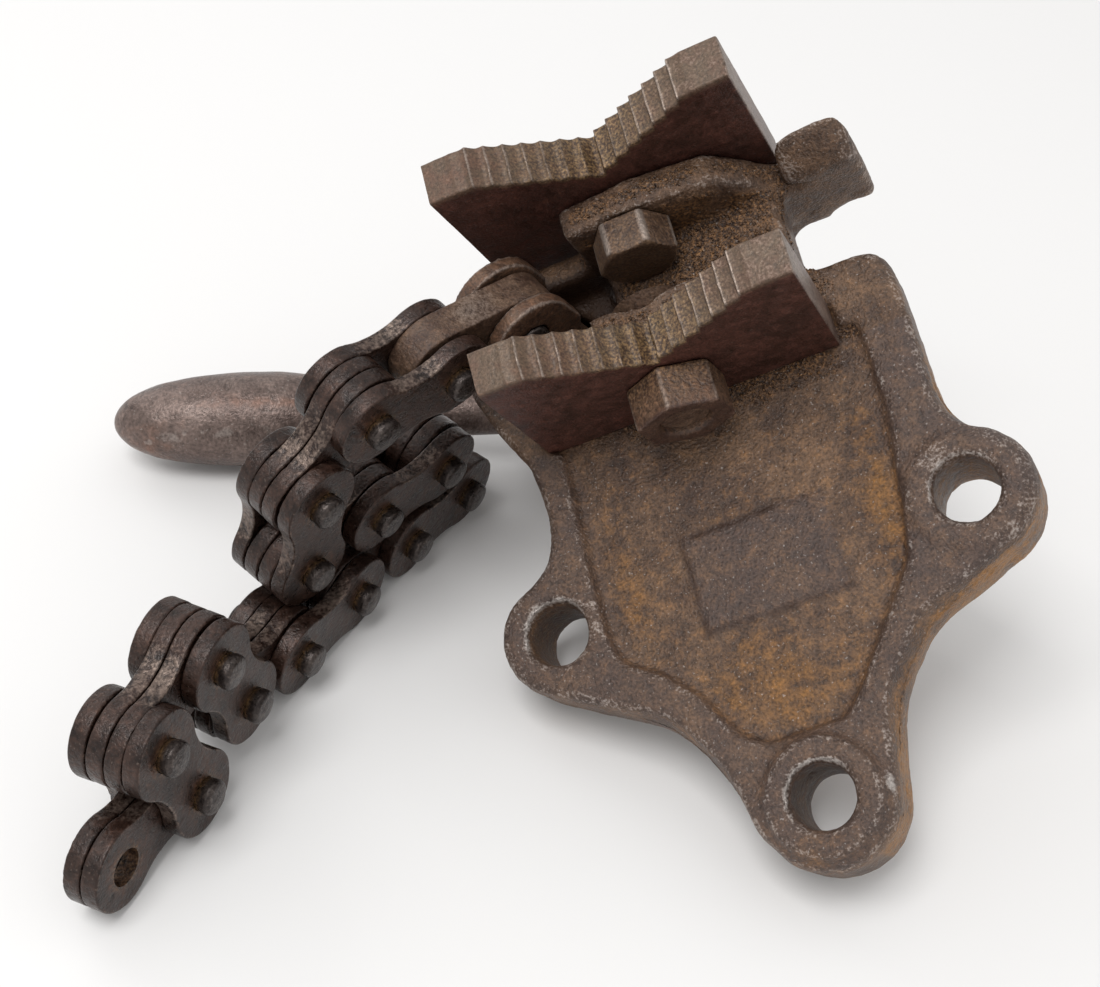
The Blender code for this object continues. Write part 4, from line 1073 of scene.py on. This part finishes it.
@dataclass(frozen=True)
class JawPlate:
    """One serrated V jaw: a plate with a stepped right flank and a scalloped left one."""

    name: str
    vise: Frame
    near: float
    foot: float
    seed: int
    left: float = -43.8 * MM
    right: float = 36.6 * MM
    thickness: float = 11.7 * MM
    top: float = 46.9 * MM
    vee_x: float = -3.0 * MM
    vee_depth: float = 18.9 * MM
    left_land: float = 12.0 * MM
    right_land: float = 10.0 * MM
    tooth_pitch: float = 4.2 * MM
    tooth_depth: float = 1.15 * MM
    edge: float = 0.55 * MM
    bolt_hole: float = 6.75 * MM
    stations: int = 340
    relief: Relief = Relief((0.10 * MM, 9.0 * MM), (0.035 * MM, 1.4 * MM), (0.13 * MM, 2.4 * MM), 41)

    def crest(self, x: np.ndarray, y: np.ndarray) -> np.ndarray:
        """Returns the toothed top's height.

        The V falls in a straight line from each land to its lowest point. On its left flank a rectified
        sine is scooped out between the crests, one pitch apart. On its right flank the line is turned into
        stairs: nearly level treads, with most of a tread's rise in the last seventh of the pitch.

        Args:
            x: places along the jaw.
            y: places across it, of the same shape.

        Returns:
            The height at each place, of the same shape.
        """
        at = np.stack((x, y, np.full_like(x, self.near)), axis=-1).reshape(-1, 3)
        x = x + (Noise(5.0 * MM, 2, self.seed)(at) * 0.35 * MM).reshape(x.shape)
        pitch, tread = self.tooth_pitch, 0.86
        left_end, right_end = self.left + self.left_land, self.right - self.right_land
        scoop = np.abs(np.sin(math.pi * (x - left_end) / pitch)) * self.tooth_depth
        scoop *= smooth_step(left_end - pitch, left_end + pitch, x) * 0.7 + 0.3
        scoop *= smooth_step(left_end - 2.2 * pitch, left_end, x)
        fall = self.vee_depth / (self.vee_x - left_end) * np.maximum(x - left_end, 0.0)
        left = self.top - fall - scoop
        step = (right_end - x) / pitch
        stair = np.floor(step) + smooth_step(tread, 1.0, step % 1.0)
        stair = np.maximum(tread * stair + (1.0 - tread) * step, 0.0)
        right = self.top - self.vee_depth / (right_end - self.vee_x) * pitch * stair
        right -= self.tooth_depth * 0.25 * np.sin(math.pi * (step % 1.0)) * (step > 0.0)
        return np.maximum(np.where(x < self.vee_x, left, right), self.top - self.vee_depth - 0.4 * MM)

    def surface(self) -> Surface:
        """Carries a rounded rectangle along the jaw, its top edge following the toothed crest.

        A section runs along the foot, up the far side, back over the top and down the near side, and its
        second half is its first half turned half round. Its corners are rounded by the edge radius. At
        both ends the section shrinks by the same radius, and then to its middle, which closes the plate:
        the right end is round, and the left one is dished behind a sharp rim.

        Returns:
            The painted surface in the vise's own frame.
        """
        half = self.thickness / 2.0
        turns = np.linspace(0.0, math.pi / 2.0, 4)
        out, back = 1.0 - np.sin(turns), 1.0 - np.cos(turns)
        across, rise = np.linspace(-1.0, 1.0, 16)[1:-1], np.linspace(0.0, 1.0, 22)[1:-1]
        flat, level = np.zeros_like(across), np.zeros_like(rise)
        # Each point of the section: share of the half thickness, inset there, share of the height, drop
        side = np.concatenate((across, np.ones(28)))
        inset = np.concatenate((flat, out, level, back))
        up = np.concatenate((flat, np.zeros(4), rise, np.ones(4)))
        drop = np.concatenate((flat, -back, level, out))
        side, inset = np.concatenate((side, -side)), np.tile(inset, 2) * self.edge
        up, drop = np.concatenate((up, 1.0 - up)), np.concatenate((drop, -drop)) * self.edge
        # Each station: its place, what its section shrinks by, and the share of it that is left
        length = np.linspace(self.left + self.edge, self.right - self.edge, self.stations + 2)[1:-1]
        x = np.concatenate(([self.left] * 2, self.left + self.edge * back[::-1], length,
                            self.right - self.edge * out, [self.right] * 2))
        pull = np.concatenate(([0.0] * 2, back[::-1], length * 0.0, back, [0.0] * 2))[:, None] * self.edge
        share = np.concatenate(([0.0, 0.5], np.ones(self.stations + 8), [0.5, 0.0]))[:, None]
        x = np.broadcast_to(x[:, None], (len(x), len(side)))
        y = side * half - np.sign(side) * inset
        y = y - np.sign(side) * np.minimum(pull, np.abs(y))
        z = self.foot + (self.crest(x, y) - self.foot) * up - drop + pull * (1.0 - 2.0 * up)
        middle = z.mean(axis=1, keepdims=True)
        y, z = y * share, middle + (z - middle) * share
        points = np.stack((x, y + self.near + half, z), axis=-1)
        layers = {layer: values.ravel() for layer, values in self.layers(x, y, up > 0.999).items()}
        return Surface(points.reshape(-1, 3), grid_faces(*x.shape, False, True), layers)

    def layers(self, x: np.ndarray, y: np.ndarray, top: np.ndarray) -> dict[Layer, np.ndarray]:
        """Paints the top's wear and painted light, which make the top lighter than the sides, more on the teeth's
        edges and to the right, and the dirt in the V.

        Args:
            x: the points' places along the jaw.
            y: their places across it.
            top: which of a section's points lie on its top.

        Returns:
            The painted layers.
        """
        onwards = smooth_step(self.left, self.right - 6.0 * MM, x)
        # A tooth's edge stands proud of the mean of its two sides, a sixth of a pitch away
        reach = self.tooth_pitch / 6.0
        proud = self.crest(x, y) - (self.crest(x - reach, y) + self.crest(x + reach, y)) / 2.0
        teeth = smooth_step(0.12 * MM, 0.55 * MM, proud) * 0.95
        ends = (np.abs(x - self.left) < self.edge) | (np.abs(x - self.right) < self.edge)
        # The top is painted lighter than the sides: partly wear, partly painted light where it faces the lamp
        wear = [(0.12 + 0.22 * onwards) * top, (0.2 + 0.6 * teeth) * top, (0.22 + 0.4 * onwards) * ends]
        dusty = np.broadcast_to(top * 0.85, x.shape)
        return {Layer.WEAR_AND_HIGHLIGHT: np.max(wear, axis=0), Layer.GRIME: dusty,
                Layer.DIRT: dusty * bell(x - self.vee_x, 17.0 * MM)}

    def build(self) -> None:
        """Makes the plate, presses its relief in and drills its bolt hole."""
        name = self.name + "_plate"
        mesh = new_mesh(name, self.surface().moved(self.vise))
        self.relief.press(mesh)
        place = self.vise.placed((JAW_BOLT[0], self.near + self.thickness / 2.0, JAW_BOLT[1]), [2, 0, 1])
        mesh = drilled(mesh, place, self.bolt_hole, self.thickness * 2.0)
        add_piece(name, mesh, "base", HARDENED_JAW_STEEL, self.name, JAW_CREASE)


@dataclass(frozen=True)
class NearJawNut:
    """The near jaw's worn hexagon nut, with chamfered faces and a threaded bore."""

    vise: Frame
    across_flats: float = 22.2 * MM
    height: float = 11.5 * MM
    bore: float = 6.65 * MM
    lead: float = 0.9 * MM
    relief: Relief = Relief((0.12 * MM, 5.0 * MM), (0.05 * MM, 1.2 * MM), (0.16 * MM, 2.0 * MM), 55)

    def build(self) -> None:
        """Turns the nut's profile round the bolt's axis, with a hexagon for its outer radius.

        The profile runs up the bore, out over the face, down the 30 degree chamfer to the flat, along it
        and back under, and the chamfer's foot falls with the hexagon's own radius.
        """
        span = self.vise.to_local(node_points("near_jaw_nut"))
        away = span[:, [0, 2]] - JAW_BOLT
        far = away[np.argmax(np.hypot(*away.T))]
        hexagon = Hexagon(self.across_flats, corner=math.atan2(far[1], far[0]), sharpness=60.0)
        radius, top = hexagon.radius(), self.height
        face = np.minimum(self.across_flats * 0.54, radius - 0.5 * MM)
        fall = (radius - face) * math.tan(CHAMFER)
        lip = self.bore + self.lead
        corners = ((self.bore, self.lead), (self.bore, top - self.lead), (lip, top), (face, top),
                   (radius, top - fall), (radius, fall), (face, 0.0), (lip, 0.0))
        surface = hexagon.carried(corners, reach=0.7 * MM, closed=True)
        surface.layers = self.layers(surface.points)
        foot = (JAW_BOLT[0], span[:, 1].max(), JAW_BOLT[1])
        place = self.vise.placed(foot, [0, 2, 1], (1.0, 1.0, -1.0))
        mesh = new_mesh("near_jaw_nut_worn", surface.moved(place))
        self.relief.press(mesh)
        add_piece("near_jaw_nut_worn", mesh, "base", RUSTY_STEEL, "near_jaw_nut",
                  HEXAGON_CREASE)

    def layers(self, points: np.ndarray) -> dict[Layer, np.ndarray]:
        """Paints the worn corners and the face's rim, darkens the face, most inside its flats, and paints the dirt
        round its foot.

        Args:
            points: the nut's points in its own frame.

        Returns:
            The painted layers.
        """
        reach = np.linalg.norm(points[:, :2], axis=1)
        height = points[:, 2]
        inner = self.across_flats / 2.0
        edge = np.abs(np.abs(height - self.height / 2.0) - self.height / 2.0)
        rubbed = smooth_step(self.across_flats * 0.53, self.across_flats * 0.575, reach) * 0.6
        ring = bell(edge, 1.2 * MM) * smooth_step(inner - 2.0 * MM, inner, reach) * 0.4
        facing = smooth_step(1.2 * MM, 0.3 * MM, self.height - height)
        return {
            Layer.WEAR_AND_HIGHLIGHT: np.maximum(rubbed, ring),
            Layer.OCHRE: np.full_like(reach, 0.25),
            Layer.GRIME: facing * 0.8,
            Layer.CRACK_AND_SHADE: facing * smooth_step(inner + 0.6 * MM, inner - 0.6 * MM, reach) * 0.4,
            Layer.DIRT: smooth_step(3.0 * MM, 0.0, height) * 0.8,
        }


@dataclass(frozen=True)
class FarJawBolt:
    """The far jaw's bolt: a worn hexagon head in the slot, and a shank that ends inside the jaw."""

    vise: Frame
    across_flats: float = 19.0 * MM
    head: float = 10.0 * MM
    shank: float = 6.35 * MM
    point: float = 1.0 * MM
    relief: Relief = Relief((0.10 * MM, 5.0 * MM), (0.04 * MM, 1.2 * MM), (0.12 * MM, 2.0 * MM), 61)

    def build(self) -> None:
        """Turns the head's and the shank's profile round the bolt's axis, from the head's face down."""
        span = self.vise.to_local(node_points("far_jaw_bolt"))[:, 1]
        length = span.max() - span.min()
        hexagon = Hexagon(self.across_flats, corner=0.0, sharpness=30.0)
        radius, flats = hexagon.radius(), self.across_flats
        face = flats / 2.0 * 0.96
        fall = (radius - face) * math.tan(CHAMFER)
        corners = ((0.0, 0.0), (face, 0.0), (radius, fall), (radius, self.head), (self.shank, self.head),
                   (self.shank, length - self.point), (self.shank - self.point, length), (0.0, length))
        surface = hexagon.carried(corners, reach=0.5 * MM, closed=False)
        reach = np.linalg.norm(surface.points[:, :2], axis=1)
        surface.layers[Layer.WEAR_AND_HIGHLIGHT] = smooth_step(flats * 0.52, flats * 0.57, reach)
        surface.layers[Layer.DIRT] = np.full_like(reach, 0.35)
        # Darkens the middle of the head's face, the underside round the shank, and the shank
        surface.layers[Layer.CRACK_AND_SHADE] = smooth_step(flats * 0.55, flats * 0.45, reach) * 0.4
        place = self.vise.placed((JAW_BOLT[0], span.min(), JAW_BOLT[1]), [0, 2, 1], (1.0, -1.0, 1.0))
        mesh = new_mesh("far_jaw_bolt_worn", surface.moved(place))
        self.relief.press(mesh)
        add_piece("far_jaw_bolt_worn", mesh, "base", RUSTY_STEEL, "far_jaw_bolt",
                  HEXAGON_CREASE)


@dataclass(frozen=True)
class DrawBolt:
    """The draw bolt's fork and shank, and the pin through the fork."""

    voxel: float = 0.65 * MM
    relief: Relief = Relief((0.16 * MM, 8.0 * MM), (0.05 * MM, 1.5 * MM), (0.16 * MM, 2.4 * MM), 71)

    def build(self) -> None:
        """Makes the fork's forged skin and the clevis pin's domed ends."""
        mesh = fine_copy("draw_bolt_forging", frame["nodes"]["draw_bolt"].data, self.voxel, rounds=4)
        edge = proudness(mesh, mesh_points(mesh), rounds=12, full=0.3 * MM)
        paint(mesh, {Layer.WEAR_AND_HIGHLIGHT: smooth_step(0.3, 1.1, edge) * 0.6, Layer.OCHRE: np.full_like(edge, 0.3),
                     Layer.DIRT: smooth_step(0.2, 0.7, -edge) * 0.9})
        self.relief.press(mesh)
        add_piece("draw_bolt_forging", mesh, "draw_bolt", RUSTY_STEEL, "draw_bolt",
                  SKIN_CREASE)
        ChainPin("clevis_pin", "draw_bolt", Slot.DARK_STEEL).build()


@dataclass(frozen=True)
class LeverNut:
    """The lever nut: a hub with a round handle that swells into a long egg-shaped grip."""

    voxel: float = 0.75 * MM
    hub_radius: float = 15.5 * MM
    hub_top: float = 25.0 * MM
    hub_foot: float = 9.0 * MM
    chamfer: float = 2.0 * MM
    bore: float = 9.8 * MM
    grip_length: float = 82.0 * MM
    grip_radius: float = 14.0 * MM
    neck_radius: float = 7.2 * MM
    root_radius: float = 8.6 * MM
    root: float = 13.5 * MM
    highlight_rise: float = 8.0 * MM
    grip_shares: tuple = (
        (0.0, 0.0), (0.004, 0.13), (0.015, 0.26), (0.06, 0.52), (0.16, 0.78), (0.30, 0.93), (0.46, 1.0),
        (0.62, 0.98), (0.80, 0.82), (0.93, 0.62), (1.0, 0.514),
    )
    relief: Relief = Relief((0.14 * MM, 14.0 * MM), (0.03 * MM, 1.5 * MM), (0.14 * MM, 1.7 * MM), 81)

    def handle(self, reach: float) -> Surface:
        """Turns the handle's profile round local Z, from its tip down to its root in the hub.

        The grip's radius follows a smooth curve through its shares, taken at even steps of the square root
        of the way along, so that the round tip is as fine as the rest.

        Args:
            reach: how far the tip lies from the lever's axis.

        Returns:
            The handle in its own frame, with the hub's middle at the origin.
        """
        along = np.linspace(0.0, 1.0, 90) ** 2
        shares = np.array(self.grip_shares)
        radius = np.interp(np.sqrt(along), np.sqrt(shares[:, 0]), shares[:, 1])
        for _ in range(3):
            radius[1:-1] = (radius[:-2] + 2.0 * radius[1:-1] + radius[2:]) / 4.0
        grip = np.stack((radius * self.grip_radius, reach - along * self.grip_length), axis=1)
        neck = np.linspace(reach - self.grip_length, self.hub_radius * 2.0, 20)[1:, None]
        neck = np.concatenate((np.full_like(neck, self.neck_radius), neck), axis=1)
        root = self.root_radius
        foot = np.array(((root, self.hub_radius), (root, self.root), (0.0, self.root)))
        return turned(np.concatenate((grip, neck, foot)), steps=72, closed=False)

    def hub(self) -> Surface:
        """Turns the hub's ring: up the bore, over the chamfered top, down the side and back under."""
        inner = self.hub_radius - self.chamfer
        side = (self.hub_top - self.chamfer, self.chamfer - self.hub_foot)
        control = ((self.bore, -self.hub_foot), (self.bore, self.hub_top), (inner, self.hub_top),
                   (self.hub_radius, side[0]), (self.hub_radius, side[1]), (inner, -self.hub_foot))
        return turned(softened(np.array(control), reach=1.0 * MM, closed=True), steps=72, closed=True)

    def build(self) -> None:
        """Joins the hub and the handle into one skin on the lever's axis and weathers it, with a painted highlight
        line along the grip.
        """
        joint = next(joint for joint in frame["joints"] if joint["name"] == "lever_turn")
        centre, axis = np.array(joint["pos_m"]), -np.array(joint["axis"])
        points = node_points("lever_nut")
        outer = points[np.linalg.norm(points - centre, axis=1) > self.grip_length]
        out = np.unique(np.round(outer, 7), axis=0).mean(axis=0) - centre
        out /= np.linalg.norm(out)
        across = np.cross(axis, out)
        across /= np.linalg.norm(across)
        hub, arm = (Frame(centre, np.stack((np.cross(across, up), across, up), axis=1)) for up in (axis, out))
        reach = ((points - centre) @ out).max()
        both = self.hub().moved(hub).plus(self.handle(reach).moved(arm))
        mesh = fine_copy("lever_nut_forging", new_mesh("lever_nut_shell", both), self.voxel, rounds=4)
        edge = proudness(mesh, mesh_points(mesh), rounds=12, full=0.3 * MM)
        local = arm.to_local(mesh_points(mesh))
        streak = Noise(9.0 * MM, 3, 83)(local * np.array((1.0, 1.0, 0.25)))
        # A painted highlight: a pale, broken line along the grip where the lamp's reflection runs
        line = bell(local[:, 1] - self.highlight_rise, 2.2 * MM) * (local[:, 2] > self.hub_radius * 3.0)
        line *= smooth_step(-0.3, 0.3, Noise(2.6 * MM, 2, 87)(local))
        wear = smooth_step(0.4, 1.2, edge) * 0.4 + smooth_step(0.0, 0.6, streak) * 0.12
        paint(mesh, {Layer.WEAR_AND_HIGHLIGHT: np.maximum(wear, line * 0.6), Layer.DIRT: smooth_step(0.3, 0.9, -edge) * 0.6,
                     Layer.OCHRE: smooth_step(0.1, 0.7, -streak) * 0.45})
        self.relief.press(mesh)
        add_piece("lever_nut_forging", mesh, "lever", FORGED_STEEL, "lever_nut", SKIN_CREASE)


@dataclass(frozen=True)
class ChainPin:
    """A round chain pin with riveted, domed ends."""

    node: str
    body: str
    slot: Slot = Slot.CHAIN_STEEL
    radius: float = 4.2 * MM
    dome: float = 1.5 * MM
    lip: float = 0.3 * MM
    crown: float = 0.45 * MM
    plate_face: float = 4.3 * MM
    relief: Relief = Relief((0.07 * MM, 4.0 * MM), (0.02 * MM, 1.1 * MM), (0.06 * MM, 1.6 * MM), 91)

    def build(self) -> None:
        """Turns the pin's profile round its own longest axis: crowned ends, a swollen lip and the shank."""
        place = own_frame(self.node)
        half = place.to_local(node_points(self.node))[:, 0].max()
        wide, turns = self.radius + self.lip, np.linspace(0.0, math.pi / 2.0, 8)
        inner, bend_top = wide - self.dome, half - self.crown * 0.6
        flat = np.array((0.0, 0.35, 0.7))
        crown = np.stack((flat * inner, half - self.crown * flat**2), axis=1)
        bend = np.stack((wide - self.dome * (1.0 - np.sin(turns)),
                         bend_top - (self.dome - self.crown * 0.6) * (1.0 - np.cos(turns))), axis=1)
        shank = ((wide, half - self.dome * 1.7), (self.radius, half - self.dome * 2.6), (self.radius, 0.0))
        upper = np.concatenate((crown, bend, shank))
        lower = upper[-2::-1] * np.array((1.0, -1.0))
        surface = turned(np.concatenate((upper, lower)), steps=36, closed=False)
        height = np.abs(surface.points[:, 2])
        root = height - (half - self.plate_face)
        surface.layers[Layer.WEAR_AND_HIGHLIGHT] = smooth_step(half - self.dome * 1.6, half, height) * 0.25 + 0.1
        surface.layers[Layer.DIRT] = bell(root, 0.7 * MM) * 0.8
        surface.layers[Layer.OCHRE] = bell(root, 1.1 * MM) * 0.6
        name = self.node + "_riveted"
        mesh = new_mesh(name, surface.moved(place.placed((0.0, 0.0, 0.0), [1, 2, 0])))
        self.relief.press(mesh)
        add_piece(name, mesh, self.body, RIVETED_PIN_STEEL, self.node, CHAIN_CREASE)


@dataclass(frozen=True)
class ChainPlate:
    """A blanked chain plate: two round lobes, one pitch apart, joined by a narrower waist."""

    node: str
    body: str
    seed: int
    pitch: float = 25.6 * MM
    lobe: float = 11.3 * MM
    waist: float = 8.4 * MM
    thickness: float = 4.62 * MM
    hole: float = 4.35 * MM
    rim: float = 0.55 * MM
    lobe_steps: int = 48
    waist_steps: int = 22
    finish: IronFinish = BLANKED_CHAIN_STEEL

    def half_outline(self) -> tuple[np.ndarray, np.ndarray, np.ndarray]:
        """Returns the upper half of the outline, the skeleton below it, and where that rims a hole.

        The outline is an arc round the right pin, a hollow arc at the waist that touches both lobes, or a
        line where it is as wide as they are, and an arc round the left pin. The skeleton is the upper half
        of the right hole, the line between the holes and the upper half of the left one, each walked
        evenly with its part of the outline.
        """
        middle = self.pitch / 2.0
        lean = math.pi / 2.0
        level = np.linspace(middle, -middle, self.waist_steps + 1)[1:-1]
        waist = np.stack((level, np.full_like(level, self.lobe)), axis=1)
        if self.waist < self.lobe:
            hollow = (middle**2 + self.waist**2 - self.lobe**2) / (2.0 * (self.lobe - self.waist))
            lean = math.atan2(hollow + self.waist, middle)
            bend = np.linspace(-lean, lean - math.pi, self.waist_steps + 1)[1:-1]
            waist = np.stack((hollow * np.cos(bend), hollow + self.waist + hollow * np.sin(bend)), axis=1)
        circle, inner = (
            np.stack((np.cos(turn), np.sin(turn)), axis=1) * radius
            for turn, radius in ((np.linspace(0.0, math.pi - lean, self.lobe_steps + 1), self.lobe),
                                 (np.linspace(0.0, math.pi, self.lobe_steps + 1), self.hole))
        )
        level = np.linspace(middle - self.hole, self.hole - middle, self.waist_steps + 1)[1:-1]
        line = np.stack((level, np.zeros_like(level)), axis=1)
        shift, mirrored = np.array((middle, 0.0)), np.array((-1.0, 1.0))
        outline = np.concatenate((circle + shift, waist, circle[::-1] * mirrored - shift))
        skeleton = np.concatenate((inner + shift, line, inner[::-1] * mirrored - shift))
        rims = np.ones(len(circle), bool)
        return outline, skeleton, np.concatenate((rims, np.zeros(len(line), bool), rims))

    def surface(self) -> Surface:
        """Carries the plate's section round its outline.

        At each point of the outline the section runs out over the top from the skeleton, round the rim's
        quarter circle, down the side, round the lower rim and back under. Between neighbours that both rim
        a hole, one more quad joins the top to the underside, as the wall of the hole.

        Returns:
            The painted surface in the plate's own frame.
        """
        outline, skeleton, holes = self.half_outline()
        flip = np.array((1.0, -1.0))
        outline = np.concatenate((outline, outline[-2:0:-1] * flip))
        skeleton = np.concatenate((skeleton, skeleton[-2:0:-1] * flip))
        holes = np.concatenate((holes, holes[-2:0:-1]))
        along = np.roll(outline, -1, axis=0) - np.roll(outline, 1, axis=0)
        along /= np.linalg.norm(along, axis=1, keepdims=True)
        outward = np.stack((along[:, 1], -along[:, 0]), axis=1)
        shoulder = outline - outward * self.rim
        half = self.thickness / 2.0
        shares = (0.0, 0.04, 0.12, 0.25, 0.4, 0.55, 0.7, 0.82, 0.92, 1.0)
        turns = np.linspace(0.0, math.pi / 2.0, 6)[1:]
        side = np.linspace(half - self.rim, 0.0, 4)[1:-1]
        upper = [skeleton + (shoulder - skeleton) * share for share in shares]
        upper += [shoulder + outward * (self.rim * math.sin(turn)) for turn in turns]
        upper += [outline] * len(side)
        levels = [half] * len(shares) + [*(half - self.rim * (1.0 - np.cos(turns)))] + [*side]
        section = np.stack(upper + [outline] + upper[::-1], axis=1)
        levels = np.array(levels + [0.0] + [-level for level in levels[::-1]])
        count, columns = section.shape[:2]
        heights = np.broadcast_to(levels[None, :, None], (count, columns, 1))
        points = np.concatenate((section, heights), axis=2)
        start = np.nonzero(holes & np.roll(holes, -1))[0] * columns
        after = (start + columns) % (count * columns)
        wall = np.stack((start, start + columns - 1, after + columns - 1, after), axis=1)
        faces = np.concatenate((grid_faces(count, columns, True, False), wall))
        edge = np.linalg.norm(section - outline[:, None, :], axis=-1).ravel()
        points = points.reshape(-1, 3)
        return Surface(points, faces, self.layers(points, edge))

    def layers(self, points: np.ndarray, edge: np.ndarray) -> dict[Layer, np.ndarray]:
        """Paints the wear of the rims and sides, which is also a painted highlight, the dirt round the pins and
        the rust that creeps out of it.

        Args:
            points: the plate's points in its own frame.
            edge: how far each lies from its place on the outline.

        Returns:
            The painted layers.
        """
        middle = self.pitch / 2.0
        near = np.minimum(*(np.linalg.norm(points[:, :2] - (x, 0.0), axis=1) for x in (-middle, middle)))
        waist = smooth_step(0.0, self.pitch / 3.0, middle - np.abs(points[:, 0]))
        rim = 1.0 - smooth_step(0.0, 1.1 * MM, np.minimum(edge, self.rim * 2.2))
        side = np.abs(points[:, 2]) < self.thickness / 2.0 - self.rim * 0.15
        patchy = 0.14 * Noise(6.0 * MM, 2, self.seed + 1)(points)
        uneven = 0.5 + 0.5 * Noise(5.0 * MM, 2, self.seed)(points)
        return {
            # Rims and sides, most at the waist, are worn and also painted bright as highlights of the light they
            # reflect
            Layer.WEAR_AND_HIGHLIGHT: np.where(side, 0.12 + 0.34 * waist, rim * 0.6) + patchy * (rim > 0.2),
            Layer.DIRT: bell(near - self.hole, 1.1 * MM) * 0.5,
            Layer.OCHRE: bell(near - self.hole, 3.0 * MM) * uneven * 0.5,
        }

    def build(self) -> None:
        """Makes the plate in its node's place, with nicks and pits of its own."""
        name = self.node + "_blanked"
        mesh = new_mesh(name, self.surface().moved(own_frame(self.node)))
        Relief((0.08 * MM, 5.0 * MM), (0.04 * MM, 1.2 * MM), (0.16 * MM, 1.8 * MM), self.seed).press(mesh)
        add_piece(name, mesh, self.body, self.finish, self.node, CHAIN_CREASE)


@dataclass(frozen=True)
class LeafChain:
    """The chain: a thick first link, then pairs of plates, the outer ones with two pins each."""

    first_thickness: float = 9.2 * MM
    first_waist: float = 11.3 * MM
    last_body: str = "link_14"
    open_hole: float = 4.75 * MM
    pin_hole: float = 4.35 * MM

    def build(self) -> None:
        """Builds every link from the nodes of its body."""
        bodies = frame["record"]["behaviour"]["bodies"]
        links = [(body, node) for body in bodies if body.startswith("link_") for node in bodies[body]]
        for body, node in links:
            seed = 100 + 7 * int(body[-2:]) + len(node)
            if node == "first_link":
                ChainPlate(node, body, seed, waist=self.first_waist, thickness=self.first_thickness,
                           finish=RUSTY_STEEL).build()
            elif node.endswith("_plate"):
                hole = self.open_hole if body == self.last_body else self.pin_hole
                ChainPlate(node, body, seed, hole=hole).build()
            else:
                ChainPin(node, body).build()


@dataclass(frozen=True)
class Lamp:
    """A square soft lamp that points at the origin."""

    name: str
    place: tuple[float, float, float]
    size: float
    power: float

    def build(self) -> None:
        """Adds the lamp."""
        light = bpy.data.lights.new(self.name, "AREA")
        light.shape = "SQUARE"
        light.size = self.size
        light.energy = self.power
        lamp = linked(self.name, light)
        lamp.location = self.place
        lamp.rotation_euler = (-Vector(self.place)).to_track_quat("-Z", "Y").to_euler()


@dataclass(frozen=True)
class Studio:
    """The pale table, the soft light and the camera."""

    table_tone: str = "#e9e8e7"
    table_size: float = 6.0
    table_matt: float = 0.6
    table_sheen: float = 0.2
    sky_tone: str = "#f6f6f6"
    sky_strength: float = 0.82
    sky_seen: float = 0.95
    lamps: tuple[Lamp, ...] = (
        Lamp("key_light", (-0.4, -0.4, 1.4), 0.7, 11.5),
        Lamp("fill_light", (-0.9, 1.1, 0.9), 0.8, 3.5),
    )
    camera_place: tuple[float, float, float] = (-20.99 * MM, -323.54 * MM, 355.95 * MM)
    camera_ahead: tuple[float, float, float] = (0.052486, 0.728788, -0.682726)
    camera_up: tuple[float, float, float] = (0.000523, 0.683648, 0.729812)
    lens: float = 56.956
    sensor: float = 36.0

    def build(self) -> None:
        """Adds the table, the lights, the sky and the camera."""
        self.table()
        for lamp in self.lamps:
            lamp.build()
        self.sky()
        self.camera()
        bpy.context.scene.view_settings.view_transform = "Standard"

    def table(self) -> None:
        """Adds the plain pale table top as one large sheet."""
        half = self.table_size / 2.0
        corners = [(-half, -half, 0.0), (half, -half, 0.0), (half, half, 0.0), (-half, half, 0.0)]
        mesh = bpy.data.meshes.new("table_top")
        mesh.from_pydata(corners, [], [(0, 1, 2, 3)])
        made = bpy.data.materials.new("laminate_white_pressed")
        made.use_nodes = True
        inputs = made.node_tree.nodes["Principled BSDF"].inputs
        inputs["Base Color"].default_value = linear(self.table_tone)
        inputs["Roughness"].default_value = self.table_matt
        inputs["Specular IOR Level"].default_value = self.table_sheen
        mesh.materials.append(made)
        linked("table_top", mesh)

    def sky(self) -> None:
        """Makes the world's even pale light, which the camera sees at nearly full white."""
        world = bpy.data.worlds.new("pale_studio")
        world.use_nodes = True
        world.node_tree.nodes.clear()
        add = partial(add_node, world.node_tree)
        seen = add("LightPath", output="Is Camera Ray")
        strength = add("Mix", {0: seen, 2: self.sky_strength, 3: self.sky_seen}, data_type="FLOAT")
        add("OutputWorld", (add("Background", (linear(self.sky_tone), strength)),))
        bpy.context.scene.world = world

    def camera(self) -> None:
        """Adds the camera at the photograph's own place."""
        data = bpy.data.cameras.new("camera")
        data.sensor_width = self.sensor
        data.lens = self.lens
        data.clip_start = 10.0 * MM
        camera = linked("camera", data)
        ahead = Vector(self.camera_ahead).normalized()
        side = ahead.cross(Vector(self.camera_up)).normalized()
        turn = Matrix((side, side.cross(ahead), -ahead)).transposed()
        camera.matrix_world = Matrix.Translation(self.camera_place) @ turn.to_4x4()
        bpy.context.scene.camera = camera


def main() -> None:
    """Builds the studio and every sub-assembly."""
    logging.basicConfig(level=logging.INFO, format="%(name)s %(message)s")
    vise = vise_frame()
    Studio().build()
    BaseCasting(vise).build()
    LooseGrit().build(bpy.data.objects["base_casting_skin"].data)
    JawPlate("near_jaw", vise, near=47.4 * MM, foot=-2.7 * MM, seed=43).build()
    JawPlate("far_jaw", vise, near=101.7 * MM, foot=-9.3 * MM, seed=47).build()
    NearJawNut(vise).build()
    FarJawBolt(vise).build()
    DrawBolt().build()
    LeverNut().build()
    LeafChain().build()
    frame["nodes"]["near_jaw_bolt"].material_slots[0].material = RUSTY_STEEL.material()


if __name__ == "__main__":
    main()
